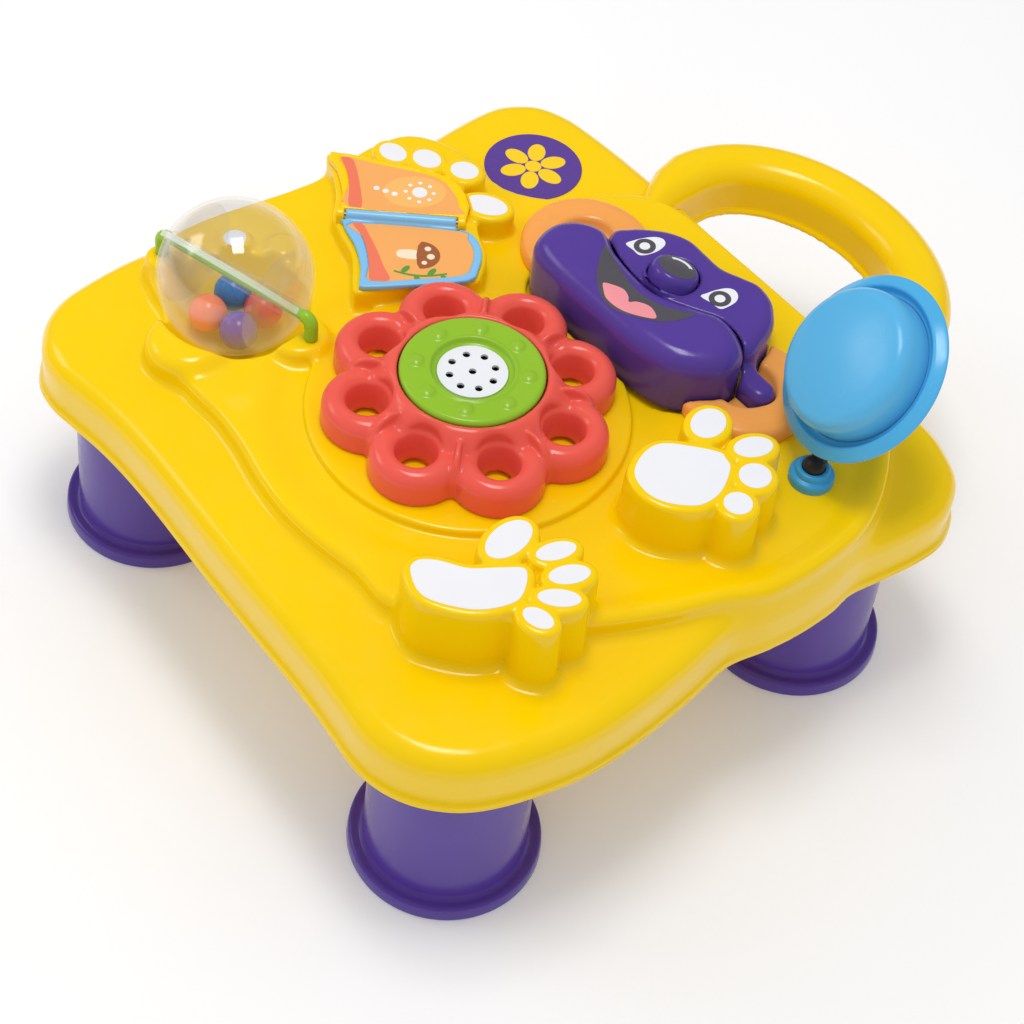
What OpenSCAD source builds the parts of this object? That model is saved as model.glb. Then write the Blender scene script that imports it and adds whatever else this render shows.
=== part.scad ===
// Musical activity table: a moulded deck on four plug-in legs with play stations.
// Millimetres, +Z up. The origin lies on the floor under the middle of the whole table.
// The child sits at the front, -Y, and the carry handle is at the back, +Y.

/* [Legs] */
// Height of the rim's underside above the floor
leg_h = 110; // [95:1:130]
// Radius of a foot's flange
foot_r = 55; // [50:0.5:58]
// Height of a foot's flange
foot_h = 9.5; // [6:0.5:12]
// Radius of a leg just above its foot
leg_low_r = 46.6; // [45.5:0.1:48]
// Radius of a leg under the rim
leg_high_r = 44; // [43.6:0.1:45]
// Radius of the spigot that plugs into the deck
spigot_r = 40; // [36:0.5:41]
// Length of the spigot
spigot_len = 16; // [10:0.5:17]
// Wall of a leg
leg_wall = 3; // [2:0.1:4]
// Distance of the leg axes from the deck's sides
leg_in_side = 64; // [62:0.5:68]
// Distance of the front legs' axes from the deck's front
leg_in_front = 59.5; // [57:0.5:63]
// Distance of the rear legs' axes from the deck's back
leg_in_back = 75; // [72:0.5:79]

/* [Deck] */
// Half width of the deck
deck_half_w = 213.5; // [211:0.5:216]
// Reach of the deck to the front
deck_front = 192.5; // [190:0.5:196]
// Reach of the deck to the back
deck_back = 208; // [206:0.5:212]
// Height of the deck above the rim's underside
deck_h = 37; // [34:0.5:42]
// Height of the raised platform above the deck
platform_h = 12; // [9:0.5:14]
// Height of the flower's ring above the platform
ring_h = 2; // [1:0.5:3]
// How far the rim's lip stands out
lip_w = 3; // [2:0.5:5]
// Height of the rim's lip
lip_h = 5; // [3:0.5:7]
// Wall of the deck moulding
wall = 2.8; // [2:0.1:3.4]
// Rounding of the deck's top edge
deck_edge = 10; // [6:0.5:10.5]

/* [Carry handle] */
// Middle of the handle, left to right
handle_x = 11; // [0:1:15]
// Half width of the handle's loop, to the middle of the tube
handle_half_w = 94; // [86:1:98]
// Where the loop is widest, from the deck's middle
handle_wide_y = 225; // [222:1:230]
// Depth of the loop beyond its widest place
handle_depth = 72; // [62:1:80]
// Half width of the handle's tube
handle_r = 17; // [15:0.5:19]
// Top of the handle above the deck
handle_rise = 13; // [10:0.5:15]
// Height of the handle's tube
handle_tall = 36; // [32:0.5:38]

/* [Flower] */
// Middle of the flower from the deck's middle
flower_at = [7, -21]; // [-10:0.5:10]
// Radius of the ring round the flower
ring_r = 92.5; // [90:0.5:96]
// Radius of the flower over its petals
flower_r = 83.5; // [82:0.5:84.5]
// Radius of one petal
petal_r = 25.5; // [24:0.5:27]
// Height of the flower wheel
flower_h = 20; // [19:0.5:22]
// Radius of a finger hole
finger_r = 13.5; // [12:0.5:14.5]
// Distance of the finger holes from the axis
finger_at = 59; // [58:0.5:61]
// Radius of the hub that the flower turns on
hub_r = 32; // [31:0.5:33]
// Radial clearance of turning and sliding pieces
run_fit = 0.06; // [0.02:0.01:0.1]
// Radius of the music button
button_r = 41; // [40:0.5:42]
// Height of the music button
button_h = 8; // [7:0.5:9]
// Travel of the music button
button_travel = 2.5; // [1:0.5:2.5]
// Radius of the speaker grille
grille_r = 19.8; // [18:0.2:21]
// Radius of a hole in the grille
grille_hole_r = 2.2; // [1:0.1:3]

/* [Face] */
// Middle of the face from the deck's middle
face_at = [13, 100]; // [10:0.5:104]
// Height of the muzzle above the platform
muzzle_h = 39; // [34:0.5:42]
// Travel of the muzzle
muzzle_travel = 3; // [1:0.5:3]
// Height of the head above the platform
head_h = 31; // [28:0.5:34]
// Wall of the face's shells
face_wall = 2.5; // [2:0.1:3]
// Gap between neighbouring shells
shell_gap = 1.2; // [0.8:0.1:1.6]
// Radius of the nose
nose_r = 15; // [13:0.5:15.5]
// Height of the nose above its collar
nose_h = 12; // [10:0.5:14]
// Lean of the nose towards the back, in degrees
nose_lean = 18; // [14:1:20]
// Travel of the nose
nose_travel = 3; // [1:0.5:3]
// Radius of an ear
ear_r = 39.5; // [37:0.5:40]
// Height of an ear
ear_h = 12; // [10:0.5:12.5]
// Distance of an ear's middle from the middle between the ears
ear_off = 71; // [70:0.5:73]

/* [Globe] */
// Middle of the globe from the deck's middle
globe_at = [-133, -84]; // [-140:1:-80]
// Height of the globe's axle above the deck
globe_rise = 34; // [33:0.5:38]
// Outer radius of the globe
globe_r = 45.5; // [43:0.5:46]
// Wall of the globe
globe_wall = 2; // [1.5:0.1:2.5]
// Direction of the axle in degrees from +X
axle_turn = 17; // [12:1:22]
// Radius of the axle
axle_r = 3; // [2.5:0.1:3.2]
// Distance of the axle's bent ends from the globe's middle
axle_end = 55; // [54.5:0.5:57]
// Radius of a loose bead
bead_r = 11.2; // [10:0.1:11.4]

/* [Book] */
// Near end of the book's spine from the deck's middle
book_at = [-150, 5.6]; // [-160:0.5:10]
// Direction of the pages in degrees from +X
book_turn = -39.2; // [-45:0.1:-38]
// Height of the book's block above the platform
book_h = 13; // [11:0.5:14]
// Thickness of the fixed leaf
leaf_t = 5; // [4:0.1:5.4]
// Thickness of the turning page
page_t = 3.6; // [3:0.1:3.8]
// Radius of the page's hinge barrel
barrel_r = 3; // [2.6:0.1:3.2]
// Length of the page's hinge barrel
barrel_len = 66; // [62:0.5:66]
// Radius of the hinge pin
pin_r = 1.2; // [1:0.1:1.5]
// Distance of the hinge pin from the near end of the spine
pin_u = 5.5; // [5.4:0.1:6]

/* [Dish] */
// Foot of the dish's spring from the deck's middle
dish_foot = [155, 106]; // [100:1:160]
// Middle of the dish's rim from the deck's middle
dish_at = [146, 137]; // [130:1:155]
// Height of the dish's middle above the platform
dish_rise = 63; // [60:0.5:68]
// Lean of the dish's face from level, in degrees
dish_lean = 50.5; // [46:0.5:54]
// Direction in which the dish looks, in degrees from +X
dish_look = -111; // [-116:1:-106]
// Radius of the dish's rim
dish_r = 54; // [52:0.5:56]
// Radius of the dish's cap
cap_r = 42; // [40:0.5:43]
// Height of the dish's cap
cap_h = 24; // [20:0.5:26]
// Radius of the spring under the dish
dish_spring_r = 4.6; // [4:0.1:5]

/* [Hand and paw prints] */
// Top of the hand print above the deck
hand_h = 43; // [38:0.5:46]
// Top of the paw print above the platform
paw_h = 35; // [30:0.5:38]
// Top of the toes behind the book, above the platform
toe_h = 16; // [12:0.5:16.5]
// Top of the small toe beside the globe, above the platform
small_toe_h = 4; // [3:0.5:5]
// Border round a white print
print_border = 3.5; // [3:0.5:4]
// Thickness of a label
label_t = 0.3; // [0.2:0.1:0.4]

/* [Underside] */
// Thickness of the bottom cover
cover_t = 2.5; // [2:0.1:3]
// Radius of a battery cell
cell_r = 7.1; // [7:0.1:7.2]
// Length of a battery cell's body
cell_len = 49; // [48.5:0.5:49.5]
// Travel of the power switch
switch_travel = 4; // [2:0.5:5]
// Shank radius of the screws
screw_r = 1.5; // [1.3:0.1:1.6]

/* [Hidden] */

$fn = 64;
past = 1;          // how far a cut runs past the face that it opens
seat = 0.3;        // gap under a piece that moves over its seat
fix = 0.1;         // radial clearance of a piece that is pushed into a hole

yellow = "#FFD600";
purple = "#5E4A9B";
red = "#EC5848";
green = "#9BC83C";
orange = "#F8A046";
blue = "#4AAEE0";
pale_blue = "#98D0F3";
white = "#F6F6FA";
grey = "#66626A";
card = "#FCB060";
steel = "silver";
clear = [0.9, 0.95, 1, 0.35];

// Heights
deck_z = leg_h + deck_h;
platform_z = deck_z + platform_h;
ring_z = platform_z + ring_h;
skin_z = deck_z - wall - past;

// The whole table is centred over the origin, front to back
handle_lip = 2;
front_reach = deck_front + lip_w;
back_reach = handle_wide_y + handle_depth + handle_r + handle_lip;
deck_shift = (front_reach - back_reach) / 2;

leg_x = deck_half_w - leg_in_side;
leg_front_y = leg_in_front - deck_front;
leg_rear_y = deck_back - leg_in_back;

function catmull(a, b, c, d, t) =
    0.5 * (2 * b + (c - a) * t + (2 * a - 5 * b + 4 * c - d) * t * t
           + (3 * b - a - 3 * c + d) * t * t * t);
function at(p, i) = p[(i + len(p)) % len(p)];
// A smooth closed outline through the points of p
function curve(p, n) =
    [for (i = [0 : len(p) - 1]) for (k = [0 : n - 1])
        catmull(at(p, i - 1), p[i], at(p, i + 1), at(p, i + 2), k / n)];
// The outline p, which runs anticlockwise, moved outwards by g
function grow(p, g) =
    [for (i = [0 : len(p) - 1]) let (t = at(p, i + 1) - at(p, i - 1))
        p[i] + g * [t.y, -t.x] / norm(t)];
function moved(p, c) = [for (q = p) q + c];
// An oval c = [middle, half width, half depth, turn]
function oval(c) =
    [for (t = [0 : 22.5 : 359])
        c[0] + [c[1] * cos(t) * cos(c[3]) - c[2] * sin(t) * sin(c[3]),
                c[1] * cos(t) * sin(c[3]) + c[2] * sin(t) * cos(c[3])]];

deck_line = curve([[0, -deck_front + 6], [45, -deck_front + 5], [90, -deck_front + 4],
    [118, -deck_front + 2], [140, -deck_front], [deck_half_w - 57, -deck_front + 2],
    [deck_half_w - 42, -deck_front + 8], [deck_half_w - 29, -deck_front + 18],
    [deck_half_w - 18, -deck_front + 32], [deck_half_w - 10, -deck_front + 51],
    [deck_half_w - 4, -deck_front + 75], [deck_half_w - 1, -96], [deck_half_w - 1, -75],
    [deck_half_w - 3, -50], [deck_half_w - 7, -20], [deck_half_w - 12, 10],
    [deck_half_w - 8, 36], [deck_half_w - 6, 60], [deck_half_w - 7, 84],
    [deck_half_w - 10, 102], [deck_half_w - 7, 128], [deck_half_w - 5, 150],
    [deck_half_w - 6, 168], [deck_half_w - 13, deck_back - 25],
    [deck_half_w - 22, deck_back - 15], [deck_half_w - 36, deck_back - 8],
    [deck_half_w - 54, deck_back - 3], [120, deck_back - 1], [60, deck_back],
    [0, deck_back - 1], [-60, deck_back], [-120, deck_back - 1],
    [-deck_half_w + 54, deck_back - 4], [-deck_half_w + 36, deck_back - 8],
    [-deck_half_w + 22, deck_back - 15], [-deck_half_w + 13, deck_back - 25],
    [-deck_half_w + 6, 168], [-deck_half_w + 5, 150], [-deck_half_w + 7, 128],
    [-deck_half_w + 10, 102], [-deck_half_w + 7, 84], [-deck_half_w + 6, 60],
    [-deck_half_w + 8, 36], [-deck_half_w + 11, 12], [-deck_half_w + 7, -20],
    [-deck_half_w + 2, -55], [-deck_half_w, -90], [-deck_half_w, -115],
    [-deck_half_w + 3, -140], [-deck_half_w + 7, -deck_front + 35],
    [-deck_half_w + 15, -deck_front + 21], [-deck_half_w + 26, -deck_front + 11],
    [-deck_half_w + 39, -deck_front + 4], [-deck_half_w + 55, -deck_front + 2],
    [-deck_half_w + 72, -deck_front + 4], [-116, -deck_front + 7.5],
    [-87, -deck_front + 9], [-54, -deck_front + 8.5]], 2);

side_w = deck_half_w - 8;
step_y = 51.5 - deck_front;
platform_line = curve([[-101, step_y], [-69, step_y + 1], [-44, step_y - 1],
    [-16, step_y - 6], [12, step_y - 8], [40, step_y - 5], [66, step_y], [92, step_y + 1],
    [110, step_y + 19], [132, step_y + 41], [side_w - 55, -84], [side_w - 41, -64],
    [side_w - 31, -44], [side_w - 21, -20], [side_w - 12, 8], [side_w - 2, 32],
    [side_w, 60], [side_w - 2, 86], [side_w - 6, 106], [side_w - 15, 127],
    [side_w - 33, deck_back - 56], [side_w - 55, deck_back - 36],
    [side_w - 93, deck_back - 16], [0, deck_back - 14], [-62, deck_back - 18],
    [-88, deck_back - 40], [-102, 136], [-130, 112], [-side_w + 33, 110],
    [-side_w + 4, 92], [-side_w, 60], [-side_w + 7, 14], [-side_w, -60],
    [-side_w + 6, -98], [-side_w + 29, -114], [-side_w + 55, -119],
    [-side_w + 77, -132]], 2);

// Outlines of the face about its middle
muzzle_line = moved(curve([[-73, -12], [-66, -30], [-46, -35.5], [-8, -35.5], [31, -34],
    [57, -26], [73, -6], [71, 12], [57, 21], [41, 22], [25, 13], [7, 4], [-11, 3],
    [-33, 6], [-51, 12], [-66, 4]], 3), face_at);
head_line = moved(curve([[-53, 18], [-35, -2], [5, -6], [50, 8], [68, 20], [64, 37],
    [58, 49], [50, 57], [42, 62], [30, 64], [19, 60], [7, 55], [-7, 55], [-21, 55],
    [-34, 49], [-44, 39], [-50, 30]], 2), face_at);
smile_line = moved(curve([[-34, -4], [-20, -21], [-4, -29], [12, -27], [27, -15], [33, 3],
    [20, -8], [0, -13], [-20, -9]], 3), face_at);
eye_ovals = [for (s = [-1, 1]) [face_at + [s * 31 - 2, s * 2 + 29], 10.5, 12, 0]];

// White prints
paw_line = curve([[131.9, 51], [121, 42], [109.5, 29], [109, 16], [117, 2], [130, -2],
    [141.5, 1], [151, 9.5], [156, 19], [154.5, 33], [145, 48], [138, 51]], 2);
paw_toes = [[[112.9, 59.5], 10, 12.5, 20], [[139.8, 68.6], 8, 12, -20],
            [[155.8, 55.4], 9.5, 9.8, 0], [[165.2, 34.6], 8.5, 8.7, 0]];
palm_line = curve([[134, -84], [126, -94], [117, -108], [104, -118], [98, -127],
    [102, -135], [120, -139], [141, -123], [149, -103], [144, -91]], 2);
fingers = [[[114, -79.5], 10, 16.5, 12], [[134, -64], 6.5, 12, -15],
           [[150, -68], 7, 12, -22], [[159, -82], 6.5, 12, -40], [[163, -99], 9.5, 6.5, 18]];
toes = [[[-177, 60], 10, 8, 10], [[-161, 74], 10, 8.5, 15], [[-140, 87], 9.5, 8.5, 30],
        [[-108, 79], 14, 9, 35]];
small_toe = [[-176, -56], 7.5, 7.5, 0];
hand_prints = concat([palm_line], [for (f = fingers) oval(f)]);
paw_prints = concat([paw_line], [for (f = paw_toes) oval(f)]);
toe_prints = [for (f = toes) oval(f)];
badge_at = [-144, 147];
badge_r = 31;
badge_h = 0.6;

// Flower
petals = 8;
petal_step = 360 / petals;
wheel_z = ring_z + seat;
wheel_top = ring_z + flower_h;
wheel_wall = 2.4;
hub_wall = 3;
hub_foot_r = 44;
hub_foot_t = 3;
hub_foot_z = ring_z - wall - hub_foot_t;
hub_top = wheel_top - 3;
hub_bore = hub_r - hub_wall;
hub_ledge = 1.8;
ledge_z = ring_z - wall + hub_ledge;
post_at = 39.5;
post_r = 3.3;
post_h = 6;
retainer_t = 2;
button_z = wheel_top + 2;
button_top = button_z + button_h;
guide_low = ring_z + 9;
guide_r = hub_bore - run_fit;
guide_wall = 2.4;
grille_z = button_top - 4;
grille_t = 1.6;
bump_r = 3.8;
fin_r = 13;
fin_t = 2.8;

// Globe
globe_z = deck_z + globe_rise;
globe_tilt = -53;
flange_w = 2.8;
flange_t = 1.8;
well_r = globe_r + flange_w + 0.8;
support_z = platform_z + 7;
socket_depth = 14;
divider_x = 31;
divider_t = 1.6;
sleeve_r = axle_r + 2.6;
mounds = [[[-121, -124.5], 24.5, deck_z + 19, 5], [[-88.5, -70], 17.5, support_z, 3],
          [[-184, -100], 11, support_z, 3], [small_toe[0], 10, platform_z + small_toe_h, 2],
          [[-157, -35], 9, platform_z + small_toe_h, 3]];

// Face
muzzle_stem = face_at + [0, -16];
stem_r = 7;
pocket_z = platform_z - 5.5;
muzzle_low = pocket_z + muzzle_travel + 1;
muzzle_top = platform_z + muzzle_h;
head_top = platform_z + head_h;
face_edge = 8;
arm_x = 84;
arm_y = face_at.y + 18;
arm_r = 8.5;
arm_l = 38;
arm_h = 16;
guide_t = 3;
guide_top = pocket_z + 15;
guide_bottom = pocket_z - 9;
clip_t = 1.2;
stem_low = guide_bottom - seat - clip_t - 1.7;
nose_base = [face_at.x - 1.5, face_at.y + 21, head_top - 5];
nose_bore = nose_r + 0.6;
nose_floor = 8;
nose_floor_t = 3;
nose_stem_r = 5;
nose_stem_low = nose_floor + nose_floor_t + 1.2;
nose_key_h = 2.6;
nose_board = nose_stem_low + nose_travel + 0.2 + nose_key_h;
nose_board_t = 1.6;
peg_at = 11;
peg_r = 1;
ear_mid = face_at + [2.5, 15.5];
ear_screw = [16, -22];
ear_thread = 6;
head_thread = 9;
face_screw_at = [face_at + [-39, 28], face_at + [45, 30],
                 ear_mid + [-ear_off - ear_screw.x, ear_screw.y],
                 ear_mid + [ear_off + ear_screw.x, ear_screw.y]];

// Book
book_z = platform_z + book_h;
leaf_top = book_z + leaf_t;
page_z = book_z + seat;
pin_z = page_z + page_t + 0.9;
lug_r = 3.6;
lug_w = 4.7;
lug_gap = 0.8;
page_u = pin_u + 0.5;
window_depth = 1.2;
book_step_line = curve([[-50, -15], [-36, -10], [-16, -7], [2, -8], [10, -5], [20, -1],
    [36, 6], [62, 8], [66, 14], [57.5, 42], [51, 77], [42, 83], [26, 85], [8, 80], [-12, 77],
    [-30, 69], [-41, 53], [-47, 20], [-54, -10]], 2);
leaf_line = [[-50, -13], [-44, -13], [-36, -8], [-25, -5], [-14, -3], [0.5, -3.5], [0.5, 72],
    [-10, 73.5], [-20, 71], [-28, 67], [-34, 61], [-38, 53], [-42, 38], [-45, 20], [-49, 0]];
page_line = [[page_u, 0.5], [11, -1], [19, 2], [28, 6.5], [39, 10], [50, 11.7], [61, 11.8],
    [65, 14.5], [60.5, 41], [53, 74.5], [42, 80.5], [29, 82], [18, 79], [11, 73],
    [10, barrel_len], [page_u, barrel_len]];
leaf_card_line = [[-46, -6], [-34, -2], [-20, 0.5], [-2, 1.5], [-2, 66], [-9, 67],
    [-21, 63.5], [-34, 52], [-41, 20]];
window_line = [[11, 4.5], [21, 10.5], [34, 14.5], [47, 16.5], [59, 18], [54, 47],
    [48.5, 71], [39, 76], [28, 77], [17.5, 73], [11, 67]];

// Dish
dish_z = platform_z + dish_rise;
plate_t = 2.6;
hub_back = 12;
boot_r = 6.5;
base_r = 13;
collar_r = 10;
boot_z = platform_z + 10;
foot_point = [dish_foot.x, dish_foot.y, boot_z];
look = [sin(dish_lean) * cos(dish_look), sin(dish_lean) * sin(dish_look), cos(dish_lean)];
hub_point = [dish_at.x, dish_at.y, dish_z] - hub_back * look;
spring_way = hub_point - foot_point;
spring_turn = atan2(spring_way.y, spring_way.x);
spring_tilt = acos(spring_way.z / norm(spring_way));
spring_wire = 0.9;
spring_mean = dish_spring_r - spring_wire;
spring_z = sqrt(pow(boot_r + seat + spring_wire, 2) - pow(spring_mean, 2)) - spring_wire;
spring_turns = 17;

// Underside
cover_z = leg_h + 1.2;
cover_top = cover_z + cover_t;
cover_gap = 0.4;
socket_t = 3.4;
boss_r = 4.2;
thread_len = 12;
head_r = 3;
head_t = 2;
// Places of the cover's screw bosses, and the height of the skin over each
boss_at = [[-95, 22.5 - deck_front, deck_z], [95, 22.5 - deck_front, deck_z],
           [23.5 - deck_half_w, -20, platform_z], [deck_half_w - 16.5, -30, deck_z],
           [-110, deck_back - 18, deck_z], [80, deck_back - 43, platform_z],
           [-70, -95, platform_z], [95, 35, platform_z]];
board_z = pocket_z - 19.5;
board_t = 1.6;
board_at = face_at + [0, -12];
board_w = 92;
board_d = 42;
board_hole_x = 38;
board_hole_y = 13;
post_gap = 2.6;
cells = 3;
cell_step = 2 * cell_r + 1.2;
box_w = cells * cell_step + 2;
box_l = cell_len + 8;
box_wall = 2;
box_h = 2 * cell_r + 3.5;
door_t = 2;
door_gap = 0.3;
rib_h = 0.6;
door_screw_y = -box_l / 2 - box_wall - 6;
switch_at = [75, -60];

module on_deck() {
    translate([0, deck_shift, 0]) children();
}

module slab(p, z0, z1) {
    translate([0, 0, z0]) linear_extrude(height = z1 - z0) polygon(p);
}

// An upright block with outline p whose top edge is rounded by e in two steps
module loaf(p, z0, z1, e) {
    slab(p, z0, z1 - e);
    for (a = [45, 90])
        slab(grow(p, -e * (1 - cos(a - 22.5))), z0, z1 - e + e * sin(a));
}

// A round block with a rounded top edge
module puck(c, r, z0, z1, e) {
    edge = [for (a = [0 : 30 : 90]) [r - e * (1 - cos(a)), z1 - z0 - e + e * sin(a)]];
    translate([c.x, c.y, z0]) rotate_extrude()
        polygon(concat([[0, 0], [r, 0]], edge, [[0, z1 - z0]]));
}

module tube(r_out, r_in, h) {
    difference() {
        cylinder(r = r_out, h = h);
        translate([0, 0, -past]) cylinder(r = r_in, h = h + 2 * past);
    }
}

// Open coil of wire, h high over its wire, with mean radius r
module coil(r, wire, h, turns) {
    ring = 12;
    sides = 6;
    n = turns * ring;
    points = [for (i = [0 : n]) let (a = 360 * i / ring, z = wire + (h - 2 * wire) * i / n)
        for (j = [0 : sides - 1]) let (b = 360 * j / sides, q = r + wire * cos(b))
            [q * cos(a), q * sin(a), z + wire * sin(b)]];
    skin = [for (i = [0 : n - 1]) for (j = [0 : sides - 1])
        let (k = (j + 1) % sides, a = i * sides, b = a + sides)
            for (f = [[a + j, b + j, b + k], [a + j, b + k, a + k]]) f];
    ends = [[for (j = [0 : sides - 1]) j], [for (j = [sides - 1 : -1 : 0]) n * sides + j]];
    polyhedron(points, concat(skin, ends));
}

module screw(length) {
    translate([0, 0, -head_t]) cylinder(r = head_r, h = head_t);
    cylinder(r = screw_r, h = length);
}

// ---- Deck moulding ----

// The deck's outer form, or its hollow when g is the wall
module deck_body(g) {
    foot = leg_h - (g > 0 ? past : 0);
    loaf(grow(deck_line, -g), foot, deck_z - g, deck_edge);
    loaf(grow(platform_line, -g), foot, platform_z - g, deck_edge / 2);
}

module deck_form(g) {
    deck_body(g);
    puck(flower_at, ring_r - g, skin_z, ring_z - g, ring_h);
    for (p = hand_prints) print_block(p, deck_z + hand_h, g);
    for (p = paw_prints) print_block(p, platform_z + paw_h, g);
    for (p = toe_prints) print_block(p, platform_z + toe_h, g);
    for (m = mounds) puck(m[0], m[1] - g, skin_z, m[2] - g, m[3]);
    in_book() slab(grow(book_step_line, -g), skin_z, book_z - g);
}

module print_block(p, top, g) {
    edge = 1.5;
    slab(grow(p, print_border - g), skin_z, top - max(g, edge));
    if (g == 0) slab(grow(p, print_border - edge / 2), skin_z, top);
}

// The globe's well and the muzzle's pocket, or the same with a skin g round them
module deck_wells(g) {
    translate([globe_at.x, globe_at.y, globe_z]) sphere(r = well_r + g);
    slab(grow(muzzle_line, shell_gap + g), pocket_z - g, ring_z + past);
}

module leg_places() {
    for (sx = [-1, 1]) for (y = [leg_front_y, leg_rear_y]) translate([sx * leg_x, y, 0])
        children();
}

module board_places() {
    for (sx = [-1, 1]) for (sy = [-1, 1])
        translate([board_at.x + sx * board_hole_x, board_at.y + sy * board_hole_y, 0])
            children();
}

module at_axle_ends() {
    translate([globe_at.x, globe_at.y, 0]) rotate([0, 0, axle_turn])
        for (s = [-1, 1]) translate([s * axle_end, 0, 0]) children();
}

module flower_place() {
    translate([flower_at.x, flower_at.y, 0]) children();
}

module hub_posts() {
    flower_place() for (a = [45 : 90 : 315]) rotate([0, 0, a]) translate([post_at, 0, 0])
        children();
}

// What the deck carries on its skin's inside, and the lugs of the book's hinge
module deck_fittings() {
    leg_places() translate([0, 0, leg_h])
        tube(spigot_r + fix + socket_t, spigot_r + fix, deck_h - wall / 2);
    for (p = boss_at) translate([p.x, p.y, cover_top])
        cylinder(r = boss_r, h = p.z - wall / 2 - cover_top);
    board_places() translate([0, 0, board_z + board_t])
        cylinder(r = 3.4, h = pocket_z - wall / 2 - board_z - board_t);
    hub_posts() translate([0, 0, ring_z - wall]) cylinder(r = post_r, h = wall + post_h);
    at_axle_ends() translate([0, 0, deck_z])
        cylinder(r = axle_r + 2.5, h = support_z - past - deck_z);
    translate([dish_foot.x, dish_foot.y, platform_z - 10]) cylinder(r = 8, h = 9);
    in_book() for (v = [-lug_gap - lug_w, barrel_len + lug_gap]) translate([pin_u, v, 0]) {
        translate([0, 0, pin_z]) rotate([-90, 0, 0]) cylinder(r = lug_r, h = lug_w);
        translate([-lug_r, 0, book_z - past]) cube([2 * lug_r, lug_w, pin_z - book_z + past]);
    }
}

// What is taken out of the deck and its fittings
module deck_openings() {
    flower_place() translate([0, 0, ring_z - 10]) cylinder(r = hub_r + 0.2, h = 20);
    translate([muzzle_stem.x, muzzle_stem.y, guide_bottom - past])
        cylinder(r = stem_r + run_fit, h = 60);
    for (p = boss_at) translate([p.x, p.y, cover_top - past])
        cylinder(r = screw_r + fix, h = thread_len + past);
    board_places() translate([0, 0, board_z]) cylinder(r = screw_r + fix, h = 10);
    hub_posts() translate([0, 0, ring_z - wall - past])
        cylinder(r = screw_r + fix, h = wall + post_h);
    at_axle_ends() translate([0, 0, support_z - socket_depth])
        cylinder(r = axle_r + fix, h = 30);
    translate([dish_foot.x, dish_foot.y, platform_z - 8]) cylinder(r = 5 + fix, h = 20);
    for (p = face_screw_at) translate([p.x, p.y, platform_z - 10])
        cylinder(r = screw_r + fix, h = 20);
    in_book() translate([pin_u, -lug_w, pin_z]) rotate([-90, 0, 0])
        cylinder(r = pin_r + fix, h = barrel_len + 2 * lug_w);
    leaf_room();
}

module leaf_room() {
    in_book() slab(leaf_line, book_z, platform_z + toe_h + past);
}

module table_top() {
    color(yellow) on_deck() difference() {
        union() {
            difference() {
                union() {
                    difference() {
                        deck_form(0);
                        difference() {
                            deck_form(wall);
                            deck_wells(wall);
                        }
                    }
                    deck_fittings();
                }
                deck_wells(0);
            }
            difference() {
                slab(grow(deck_line, lip_w), leg_h, leg_h + lip_h);
                slab(grow(deck_line, -wall / 2), leg_h - past, leg_h + lip_h + past);
            }
            translate([muzzle_stem.x, muzzle_stem.y, guide_bottom])
                cylinder(r = stem_r + guide_t, h = guide_top - guide_bottom);
        }
        deck_openings();
    }
}

module in_book() {
    translate([book_at.x, book_at.y, 0]) rotate([0, 0, book_turn]) children();
}

// ---- Carry handle ----

// The handle's middle line, from its left end to its right end, moved outwards by w
function handle_line(w) = let (neck = handle_half_w - 7 + w, end = handle_half_w - 19 + w)
    concat([[-end, deck_back - 36], [-neck, deck_back - 12]],
        [for (a = [180 : -9 : 0])
            [(handle_half_w + w) * cos(a), handle_wide_y + (handle_depth + w) * sin(a)]],
        [[neck, deck_back - 12], [end, deck_back - 36]]);

module handle_band(w, z0, z1) {
    outer = handle_line(w);
    back = [for (i = [len(outer) - 1 : -1 : 0]) outer[i]];
    translate([handle_x, 0, 0]) {
        slab(concat(back, handle_line(-w)), z0, z1);
        for (s = [-1, 1]) translate([s * (handle_half_w - 19), deck_back - 36, z0])
            cylinder(r = w, h = z1 - z0);
    }
}

module carry_handle() {
    top = deck_z + handle_rise;
    low = top - handle_tall;
    color(yellow) on_deck() difference() {
        union() {
            handle_band(handle_r + handle_lip, low, low + wall);
            handle_band(handle_r, low, top - 8);
            handle_band(handle_r - 3, low, top - 3);
            handle_band(handle_r - 8, low, top);
        }
        handle_band(handle_r - wall, low - past, top - 8 - wall);
        handle_band(handle_r - 3 - wall, low - past, top - 3 - wall);
        deck_body(0);
    }
}

// ---- Legs ----

module leg() {
    top = leg_h + spigot_len;
    rotate_extrude() polygon([[0, 0], [foot_r, 0], [foot_r, 3],
        [foot_r - 1, foot_h], [leg_low_r + 2, foot_h + 3], [leg_low_r, foot_h + 6.5],
        [leg_high_r, leg_h - 5], [leg_high_r, leg_h], [spigot_r, leg_h],
        [spigot_r, top - 2], [spigot_r - 1, top], [spigot_r - leg_wall, top],
        [spigot_r - leg_wall, leg_h], [leg_high_r - leg_wall, leg_h - leg_wall - 2],
        [leg_low_r - leg_wall, foot_h + 5.5], [foot_r - 4, foot_h - leg_wall],
        [foot_r - 4, leg_wall], [0, leg_wall]]);
}

module leg_at(x, y) {
    color(purple) on_deck() translate([x, y, 0]) leg();
}
module leg_front_left() { leg_at(-leg_x, leg_front_y); }
module leg_front_right() { leg_at(leg_x, leg_front_y); }
module leg_rear_left() { leg_at(-leg_x, leg_rear_y); }
module leg_rear_right() { leg_at(leg_x, leg_rear_y); }

// ---- Underside ----

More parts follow.
